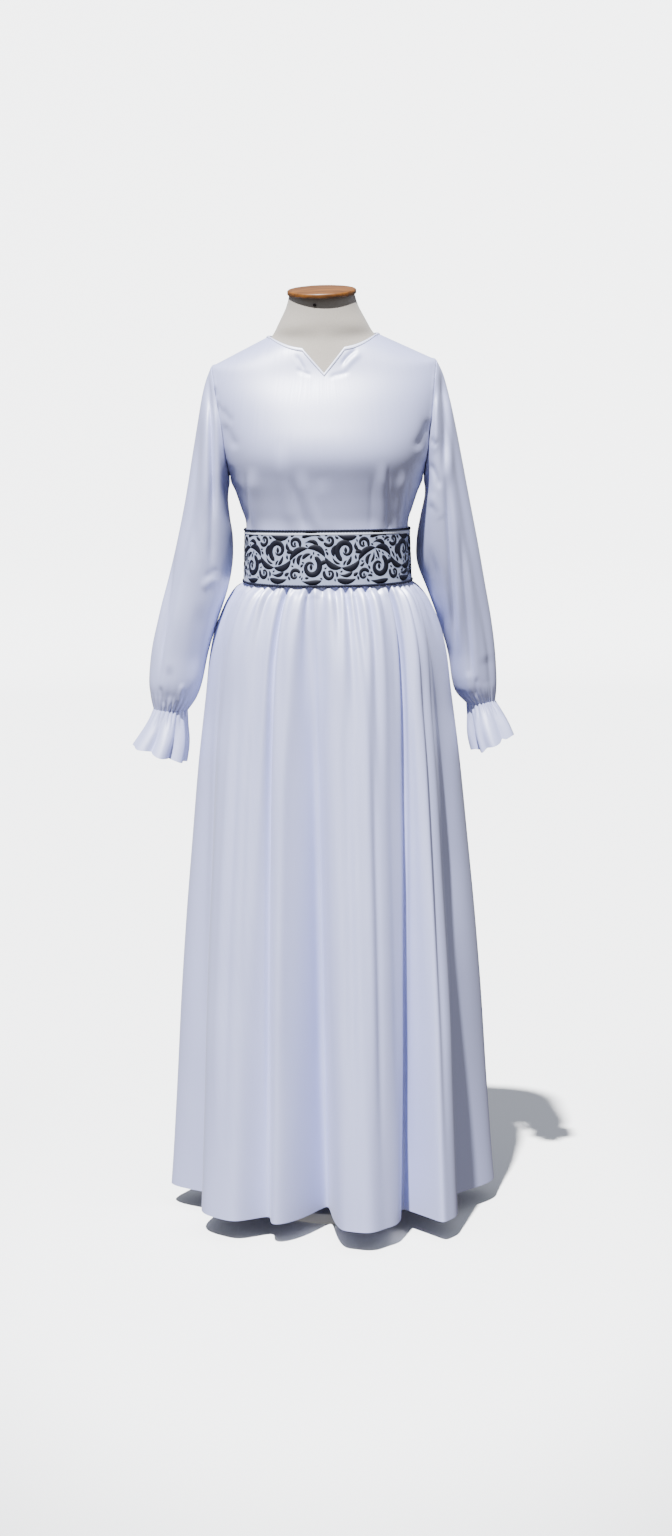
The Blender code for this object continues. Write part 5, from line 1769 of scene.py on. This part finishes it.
def settle(piece):
    """Shade the piece smoothly and put its place into its mesh."""
    select_only(piece)
    bpy.ops.object.transform_apply(location=True, rotation=True, scale=True)
    bpy.ops.object.shade_smooth_by_angle(angle=math.radians(TURNED_SHARP_ANGLE))
    return piece


def pick_faces(piece, test):
    """In edit mode, select only the faces whose centre and normal pass the test."""
    bpy.ops.mesh.select_mode(type="FACE")
    bpy.ops.mesh.select_all(action="DESELECT")
    bpy.ops.object.mode_set(mode="OBJECT")
    for face in piece.data.polygons:
        face.select = bool(test(face.center, face.normal))
    bpy.ops.object.mode_set(mode="EDIT")


class DRESS_OT_neck_cap(bpy.types.Operator):
    """Make the oval wooden cap: a turned rim and a low dome in steps"""

    bl_idname = "dress.neck_cap"
    bl_label = "Neck cap"

    def execute(self, context):
        top = FORM_SECTIONS[-1]
        bpy.ops.object.select_all(action="DESELECT")
        bpy.ops.mesh.primitive_cylinder_add(
            vertices=96, radius=CAP_HALF_WIDTH, depth=CAP_RIM, end_fill_type="NGON"
        )
        cap = named_primitive("form_neck_cap_wood", wood_material())
        bpy.ops.object.mode_set(mode="EDIT")
        pick_faces(cap, lambda centre, normal: normal.z > 0.9)
        for inset, lift in CAP_DOME_STEPS:
            bpy.ops.mesh.inset(thickness=inset, depth=0.0)
            bpy.ops.transform.translate(value=(0.0, 0.0, CAP_DOME * lift))
        bpy.ops.object.mode_set(mode="OBJECT")
        select_only(cap)
        bevel = cap.modifiers.new("rounded rim", "BEVEL")
        bevel.width = CAP_BEVEL
        bevel.segments = 5
        bevel.limit_method = "ANGLE"
        bevel.angle_limit = math.radians(50.0)
        bpy.ops.object.modifier_apply(modifier=bevel.name)
        cap.scale = (1.0, CAP_HALF_DEPTH / CAP_HALF_WIDTH, 1.0)
        cap.rotation_euler = (math.atan(NECK_TILT), 0.0, 0.0)
        cap.location = (0.0, (top.back - top.front) / 2.0, top.height + STAND_GAP + CAP_RIM / 2.0)
        settle(cap)
        for vertex in cap.data.vertices:
            vertex.co = leaned(np.array(vertex.co))
        dress_piece(cap, "turned_wood", "form_neck_cap")
        return {"FINISHED"}


class DRESS_OT_neck_screw(bpy.types.Operator):
    """Make the slotted screw head on the front of the neck"""

    bl_idname = "dress.neck_screw"
    bl_label = "Neck screw"

    def execute(self, context):
        bpy.ops.object.select_all(action="DESELECT")
        bpy.ops.mesh.primitive_cylinder_add(
            vertices=40, radius=SCREW_RADIUS, depth=SCREW_THICKNESS, end_fill_type="NGON"
        )
        screw = named_primitive("form_neck_screw_head", mottled_material("screw"))
        bpy.ops.object.mode_set(mode="EDIT")
        for side in (-0.5, 0.5):
            bpy.ops.mesh.select_all(action="SELECT")
            bpy.ops.mesh.bisect(
                plane_co=(0.0, side * SCREW_SLOT, 0.0), plane_no=(0.0, 1.0, 0.0)
            )
        pick_faces(
            screw, lambda centre, normal: normal.z > 0.9 and abs(centre.y) < 0.4 * SCREW_SLOT
        )
        bpy.ops.mesh.extrude_region_move(
            TRANSFORM_OT_translate={"value": (0.0, 0.0, -0.5 * SCREW_THICKNESS)}
        )
        bpy.ops.object.mode_set(mode="OBJECT")
        low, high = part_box("form_neck_screw")
        screw.rotation_euler = (math.radians(90.0), math.radians(25.0), 0.0)
        screw.location = [(a + b) / 2.0 for a, b in zip(low, high)]
        settle(screw)
        dress_piece(screw, "dark_screw", "form_neck_screw")
        return {"FINISHED"}


def spun_piece(name, profile, steps, material):
    """A piece of revolution about Z, spun from (radius, height) points."""
    mesh = bpy.data.meshes.new(name)
    points = [(radius, 0.0, height) for radius, height in profile]
    edges = [(i, i + 1) for i in range(len(points) - 1)]
    mesh.from_pydata(points, edges, [])
    mesh.materials.append(material)
    piece = bpy.data.objects.new(name, mesh)
    bpy.context.scene.collection.objects.link(piece)
    select_only(piece)
    bpy.ops.object.mode_set(mode="EDIT")
    bpy.ops.mesh.select_all(action="SELECT")
    bpy.ops.mesh.spin(
        steps=steps, dupli=False, angle=FULL_TURN, center=(0.0, 0.0, 0.0), axis=(0.0, 0.0, 1.0)
    )
    bpy.ops.mesh.select_all(action="SELECT")
    bpy.ops.mesh.remove_doubles(threshold=0.00001)
    bpy.ops.mesh.normals_make_consistent(inside=False)
    bpy.ops.object.mode_set(mode="OBJECT")
    return settle(piece)


class DRESS_OT_stand(bpy.types.Operator):
    """Make the round base plate and the pole with its collar"""

    bl_idname = "dress.stand"
    bl_label = "Stand"

    def execute(self, context):
        rim = BASE_RADIUS
        top = BASE_THICKNESS
        base = spun_piece("form_base_plate", (
            (0.0, 0.0), (rim - 0.002, 0.0), (rim, 0.002), (rim, top - 0.004),
            (rim - 0.001, top - 0.0015), (rim - 0.004, top), (0.0, top),
        ), 96, mottled_material("plate"))
        foot = BASE_THICKNESS + STAND_GAP
        head = FORM_SECTIONS[0].height - STAND_GAP
        collar = COLLAR_RADIUS
        pole = spun_piece("form_pole_tube", (
            (0.0, foot), (collar - 0.001, foot), (collar, foot + 0.001),
            (collar, foot + COLLAR_HEIGHT * 0.55), (collar - 0.002, foot + COLLAR_HEIGHT * 0.62),
            (POLE_RADIUS + 0.002, foot + COLLAR_HEIGHT * 0.95),
            (POLE_RADIUS, foot + COLLAR_HEIGHT), (POLE_RADIUS, head), (0.0, head),
        ), 64, mottled_material("pole"))
        dress_piece(base, "painted_steel", "form_base")
        dress_piece(pole, "brushed_steel", "form_pole")
        return {"FINISHED"}


def add_node(tree, kind, settings=None, links=None):
    """Add a node with its settings, and link its inputs from other nodes' outputs."""
    node = tree.nodes.new(kind)
    for key, value in (settings or {}).items():
        if isinstance(key, int) or key in node.inputs:
            node.inputs[key].default_value = value
        else:
            setattr(node, key, value)
    for key, source in (links or {}).items():
        tree.links.new(source, node.inputs[key])
    return node


def start_material(name, constants):
    """A new material, its nodes and its shader, with constants on the shader's own sockets.

    Where the material is there already, its nodes and shader come back as None.
    """
    found = bpy.data.materials.get(name)
    if found:
        return found, None, None
    material = bpy.data.materials.new(name)
    material.use_nodes = True
    tree = material.node_tree
    shader = tree.nodes["Principled BSDF"]
    for key, value in constants.items():
        shader.inputs[key].default_value = value
    return material, tree, shader


def finish_material(tree, shader, colour, bump):
    """Lead a pattern's colour and its bump to the shader."""
    tree.links.new(colour.outputs["Color"], shader.inputs["Base Color"])
    tree.links.new(bump.outputs["Normal"], shader.inputs["Normal"])


def cloth_coordinates(tree, scale_u, scale_v):
    """The piece's own flat coordinates in metres, scaled to repeats per metre."""
    source = add_node(tree, "ShaderNodeUVMap", {"uv_map": "cloth_metres"})
    return add_node(
        tree, "ShaderNodeMapping", {"Scale": (scale_u, scale_v, 1.0)},
        {"Vector": source.outputs["UV"]},
    )


def satin_material(name="woven satin", finish="satin"):
    """Polyester satin, woven: long warp floats give a soft broad gloss down the cloth."""
    material, tree, shader = start_material(name, {
        "Roughness": 0.50, "IOR": 2.0, "Specular IOR Level": 1.0, "Sheen Weight": 0.05,
        "Sheen Roughness": 0.4,
    })
    if tree is None:
        return material
    # Slubs of the warp, 3 mm wide and 90 mm long, drawn far coarser than the real threads
    slub = cloth_coordinates(tree, 330.0, 11.0)
    streaks = add_node(
        tree, "ShaderNodeTexNoise", {"Scale": 1.0, "Detail": 2.0, "Roughness": 0.5},
        {"Vector": slub.outputs["Vector"]},
    )
    # Broad changes of tone over about 150 mm, as the dye and the light in the folds vary
    broad = cloth_coordinates(tree, 7.0, 5.0)
    tone = add_node(
        tree, "ShaderNodeTexNoise", {"Scale": 1.0, "Detail": 1.0},
        {"Vector": broad.outputs["Vector"]},
    )
    dark, light = tones(finish)
    colour = add_node(tree, "ShaderNodeMixRGB", {"Color1": dark, "Color2": light},
                      {"Fac": tone.outputs["Fac"]})
    gloss = add_node(tree, "ShaderNodeMapRange", {
        "From Min": 0.3, "From Max": 0.7, "To Min": 0.46, "To Max": 0.54,
    }, {"Value": streaks.outputs["Fac"]})
    bump = add_node(tree, "ShaderNodeBump", {"Strength": 0.10, "Distance": 0.00012},
                    {"Height": streaks.outputs["Fac"]})
    tree.links.new(gloss.outputs["Result"], shader.inputs["Roughness"])
    finish_material(tree, shader, colour, bump)
    return material


def binding_material():
    """Bias strip of the same satin, pressed flat; its tones are a shade paler as a painted sheen."""
    return satin_material("satin bias strip", "binding")


def brocade_material():
    """Jacquard-woven ground: silver-white yarn with a fine diagonal rib."""
    material, tree, shader = start_material(
        "silver jacquard ground", {"Roughness": 0.55, "Sheen Weight": 0.10}
    )
    if tree is None:
        return material
    # Diagonal rib 2.3 mm apart, drawn coarser than the real one so that it shows
    rib = cloth_coordinates(tree, 620.0, 620.0)
    wave = add_node(
        tree, "ShaderNodeTexWave",
        {"Scale": 0.31, "Distortion": 0.4, "bands_direction": "DIAGONAL"},
        {"Vector": rib.outputs["Vector"]},
    )
    # Mottling of the silvery yarn about 17 mm across
    tone = cloth_coordinates(tree, 60.0, 60.0)
    mottle = add_node(tree, "ShaderNodeTexNoise", {"Scale": 1.0, "Detail": 3.0},
                      {"Vector": tone.outputs["Vector"]})
    dark, light = tones("ground")
    colour = add_node(tree, "ShaderNodeMixRGB", {"Color1": dark, "Color2": light},
                      {"Fac": mottle.outputs["Fac"]})
    bump = add_node(tree, "ShaderNodeBump", {"Strength": 0.35, "Distance": 0.0002},
                    {"Height": wave.outputs["Fac"]})
    finish_material(tree, shader, colour, bump)
    return material


# Finishes of two close tones in a small mottling: the material, its tones in the panel, the
# patches of mottling to a metre, the strength and depth of its bump, the depth in
# millimetres, and the shader's own constants
Mottled = namedtuple("Mottled", "material tones per_metre bump_strength bump_mm constants")
MOTTLED = rows_of(Mottled, (
    # Satin-stitched thread: near-black, with a dull silky gloss, in stitches of 1.1 mm
    ("navy embroidery thread", "thread", 900.0, 0.4, 0.3,
     {"Roughness": 0.6, "Specular IOR Level": 0.25}),
    # Twisted cotton cord: nearly black and dull, its fibres 1.4 mm apart
    ("navy twisted cord", "cord", 700.0, 0.4, 0.3,
     {"Roughness": 0.7, "Specular IOR Level": 0.25}),
    # Flat woven braid: white and fairly matt, its knots 1.7 mm apart
    ("white flat braid", "braid", 600.0, 0.3, 0.2, {"Roughness": 0.60}),
    # Knitted cotton jersey over padding: matt and warm grey-beige, its loops drawn at 2.4 mm
    ("stretched cotton jersey", "jersey", 420.0, 0.25, 0.4,
     {"Roughness": 0.88, "Sheen Weight": 0.15}),
    # Blackened turned steel: dark, with a dull metal gloss, clouded every 3 mm
    ("blackened steel", "screw", 300.0, 0.1, 0.1, {"Roughness": 0.45, "Metallic": 0.8}),
    # Brushed steel tube: a soft even metal gloss, clouded every 4 mm
    ("brushed steel", "pole", 260.0, 0.15, 0.1, {"Roughness": 0.36, "Metallic": 1.0}),
    # Powder-coated plate: pale grey with a faint orange peel of 2 mm
    ("powder-coated steel", "plate", 500.0, 0.2, 0.2, {"Roughness": 0.5}),
))


def mottled_material(finish):
    """The mottled material that takes these tones."""
    row = next(row for row in MOTTLED if row.tones == finish)
    material, tree, shader = start_material(row.material, row.constants)
    if tree is None:
        return material
    source = add_node(tree, "ShaderNodeTexCoord")
    noise = add_node(tree, "ShaderNodeTexNoise", {"Scale": row.per_metre, "Detail": 3.0},
                     {"Vector": source.outputs["Object"]})
    dark, light = tones(finish)
    colour = add_node(tree, "ShaderNodeMixRGB", {"Color1": dark, "Color2": light},
                      {"Fac": noise.outputs["Fac"]})
    bump = add_node(tree, "ShaderNodeBump",
                    {"Strength": row.bump_strength, "Distance": row.bump_mm * MM},
                    {"Height": noise.outputs["Fac"]})
    finish_material(tree, shader, colour, bump)
    return material


def wood_material():
    """Turned and varnished wood: orange-brown with darker grain lines along X."""
    material, tree, shader = start_material("varnished turned wood", {
        "Roughness": 0.48, "Coat Weight": 0.15, "Coat Roughness": 0.3,
    })
    if tree is None:
        return material
    source = add_node(tree, "ShaderNodeTexCoord")
    # Grain lines about 6 mm apart that run from side to side
    stretched = add_node(tree, "ShaderNodeMapping", {"Scale": (14.0, 170.0, 260.0)},
                         {"Vector": source.outputs["Object"]})
    grain = add_node(tree, "ShaderNodeTexNoise", {"Scale": 1.0, "Detail": 4.0, "Roughness": 0.6},
                     {"Vector": stretched.outputs["Vector"]})
    ramp = add_node(tree, "ShaderNodeValToRGB", {}, {"Fac": grain.outputs["Fac"]})
    for element, position, tone in zip(ramp.color_ramp.elements, (0.34, 0.62), tones("wood")):
        element.position = position
        element.color = tone
    bump = add_node(tree, "ShaderNodeBump", {"Strength": 0.2, "Distance": 0.0003},
                    {"Height": grain.outputs["Fac"]})
    finish_material(tree, shader, ramp, bump)
    return material


def backdrop_material():
    """Painted floor, matt and pale, with painted shade that falls off to grey towards the viewer."""
    material, tree, shader = start_material("matt pale backdrop", {"Roughness": 0.95})
    if tree is None:
        return material
    source = add_node(tree, "ShaderNodeTexCoord")
    # A painted pool of light round the dress, 1.0 m wide and 1.8 m deep, then painted grey shade at
    # 2.3 by 4.3 m
    scaled = add_node(tree, "ShaderNodeMapping", {"Scale": (1.55, 0.82, 0.0)},
                      {"Vector": source.outputs["Object"]})
    apart = add_node(tree, "ShaderNodeVectorMath", {"operation": "LENGTH"},
                     {"Vector": scaled.outputs["Vector"]})
    edge = add_node(tree, "ShaderNodeMapRange", {
        "From Min": 0.75, "From Max": 1.75, "To Min": 0.0, "To Max": 1.0,
        "interpolation_type": "SMOOTHSTEP",
    }, {"Value": apart.outputs["Value"]})
    # The painted grey shade comes in from 1.2 m behind the middle of the dress to 0.2 m before it
    split = add_node(tree, "ShaderNodeSeparateXYZ", {}, {"Vector": source.outputs["Object"]})
    painted_shade_towards_viewer = add_node(tree, "ShaderNodeMapRange", {
        "From Min": 1.2, "From Max": -0.2, "To Min": 0.0, "To Max": 1.0,
        "interpolation_type": "SMOOTHSTEP",
    }, {"Value": split.outputs["Y"]})
    share = add_node(tree, "ShaderNodeMath", {"operation": "MULTIPLY"},
                     {0: edge.outputs["Result"], 1: painted_shade_towards_viewer.outputs["Result"]})
    # The darker tone is painted shade, laid on where both masks are high
    dark, light = tones("floor")
    colour = add_node(tree, "ShaderNodeMixRGB", {"Color1": light, "Color2": dark},
                      {"Fac": share.outputs["Value"]})
    tree.links.new(colour.outputs["Color"], shader.inputs["Base Color"])
    return material


def make_stage_floor():
    """A pale round floor that curves up into a sloping rim well away from the dress."""
    slope = math.radians(FLOOR_RIM_SLOPE)
    profile = [(0.0, 0.0), (FLOOR_RADIUS, 0.0)]
    for i in range(1, FLOOR_BEND_STEPS + 1):
        angle = slope * i / FLOOR_BEND_STEPS
        profile.append((
            FLOOR_RADIUS + FLOOR_BEND * math.sin(angle), FLOOR_BEND * (1.0 - math.cos(angle))
        ))
    radius, height = profile[-1]
    rise = FLOOR_RIM_HEIGHT - height
    profile.append((radius + rise / math.tan(slope), FLOOR_RIM_HEIGHT))
    floor = spun_piece("studio_floor", profile, 96, backdrop_material())
    # The dress stands over dull ground in the sun, so the pale floor gives it no light back
    floor.visible_diffuse = False
    floor.visible_glossy = False


def make_lights():
    """A hard high sun from the front left, and a dim even sky."""
    lamp = bpy.data.lights.new("sun", "SUN")
    lamp.energy = SUN_STRENGTH
    lamp.angle = math.radians(SUN_WIDTH)
    sun = bpy.data.objects.new("sun", lamp)
    sun.rotation_euler = Vector(SUN_DIRECTION).to_track_quat("-Z", "Y").to_euler()
    bpy.context.scene.collection.objects.link(sun)
    world = bpy.data.worlds.new("studio")
    world.use_nodes = True
    tree = world.node_tree
    direction = add_node(tree, "ShaderNodeTexCoord")
    height = add_node(tree, "ShaderNodeSeparateXYZ", {},
                      {"Vector": direction.outputs["Generated"]})
    share = add_node(tree, "ShaderNodeMapRange", {
        "From Min": -0.3, "From Max": 0.4, "To Min": 0.0, "To Max": 1.0,
    }, {"Value": height.outputs["Z"]})
    colour = add_node(tree, "ShaderNodeMixRGB", {
        "Color1": linear_colour(SKY_LOW), "Color2": linear_colour(SKY_HIGH),
    }, {"Fac": share.outputs["Result"]})
    background = tree.nodes["Background"]
    tree.links.new(colour.outputs["Color"], background.inputs["Color"])
    background.inputs["Strength"].default_value = SKY_STRENGTH
    bpy.context.scene.world = world


def make_camera():
    """The camera that looks at the dress as the photograph does."""
    lens = bpy.data.cameras.new("photo_camera")
    lens.sensor_width = SENSOR
    lens.lens = CAMERA_FOCAL_PIXELS / PHOTO_HEIGHT * SENSOR
    lens.shift_x = CAMERA_SHIFT_PIXELS / PHOTO_HEIGHT
    lens.clip_end = 60.0
    camera = bpy.data.objects.new("photo_camera", lens)
    look = Matrix.Rotation(math.radians(90.0 - CAMERA_PITCH), 4, "X")
    roll = Matrix.Rotation(math.radians(CAMERA_ROLL), 4, "Z")
    place = Matrix.Translation((0.0, -CAMERA_DISTANCE, CAMERA_HEIGHT))
    camera.matrix_world = place @ look @ roll
    bpy.context.scene.collection.objects.link(camera)
    bpy.context.scene.camera = camera


class DRESS_OT_stage(bpy.types.Operator):
    """Make the floor, the lights and the camera"""

    bl_idname = "dress.stage"
    bl_label = "Stage"

    def execute(self, context):
        make_stage_floor()
        make_lights()
        make_camera()
        return {"FINISHED"}


OPERATORS = (
    DRESS_OT_form_torso,
    DRESS_OT_neck_cap,
    DRESS_OT_neck_screw,
    DRESS_OT_stand,
    DRESS_OT_bodice,
    DRESS_OT_binding,
    DRESS_OT_sleeves,
    DRESS_OT_frills,
    DRESS_OT_skirt,
    DRESS_OT_belt,
    DRESS_OT_scrolls,
    DRESS_OT_belt_edges,
    DRESS_OT_stage,
)


class DRESS_PT_panel(bpy.types.Panel):
    """Lists the dress's sizes and colours and the operators that make its pieces"""

    bl_idname = "DRESS_PT_panel"
    bl_label = "Dress"
    bl_space_type = "VIEW_3D"
    bl_region_type = "UI"
    bl_category = "Dress"

    def draw(self, context):
        for settings in (context.scene.dress_cloth, context.scene.dress_colours):
            for name in type(settings).__annotations__:
                self.layout.prop(settings, name)
        for operator in OPERATORS:
            self.layout.operator(operator.bl_idname)


CLASSES = (ClothSettings, ColourSettings) + OPERATORS + (DRESS_PT_panel,)


def register():
    for item in CLASSES:
        bpy.utils.register_class(item)
    bpy.types.Scene.dress_cloth = PointerProperty(type=ClothSettings)
    bpy.types.Scene.dress_colours = PointerProperty(type=ColourSettings)


def unregister():
    del bpy.types.Scene.dress_colours
    del bpy.types.Scene.dress_cloth
    for item in reversed(CLASSES):
        bpy.utils.unregister_class(item)


def main():
    register()
    bpy.ops.dress.form_torso()
    bpy.ops.dress.neck_cap()
    bpy.ops.dress.neck_screw()
    bpy.ops.dress.stand()
    bpy.ops.dress.bodice()
    bpy.ops.dress.binding()
    bpy.ops.dress.sleeves()
    bpy.ops.dress.frills()
    bpy.ops.dress.skirt()
    bpy.ops.dress.belt()
    bpy.ops.dress.scrolls()
    bpy.ops.dress.belt_edges()
    bpy.ops.dress.stage()


if __name__ == "__main__":
    main()
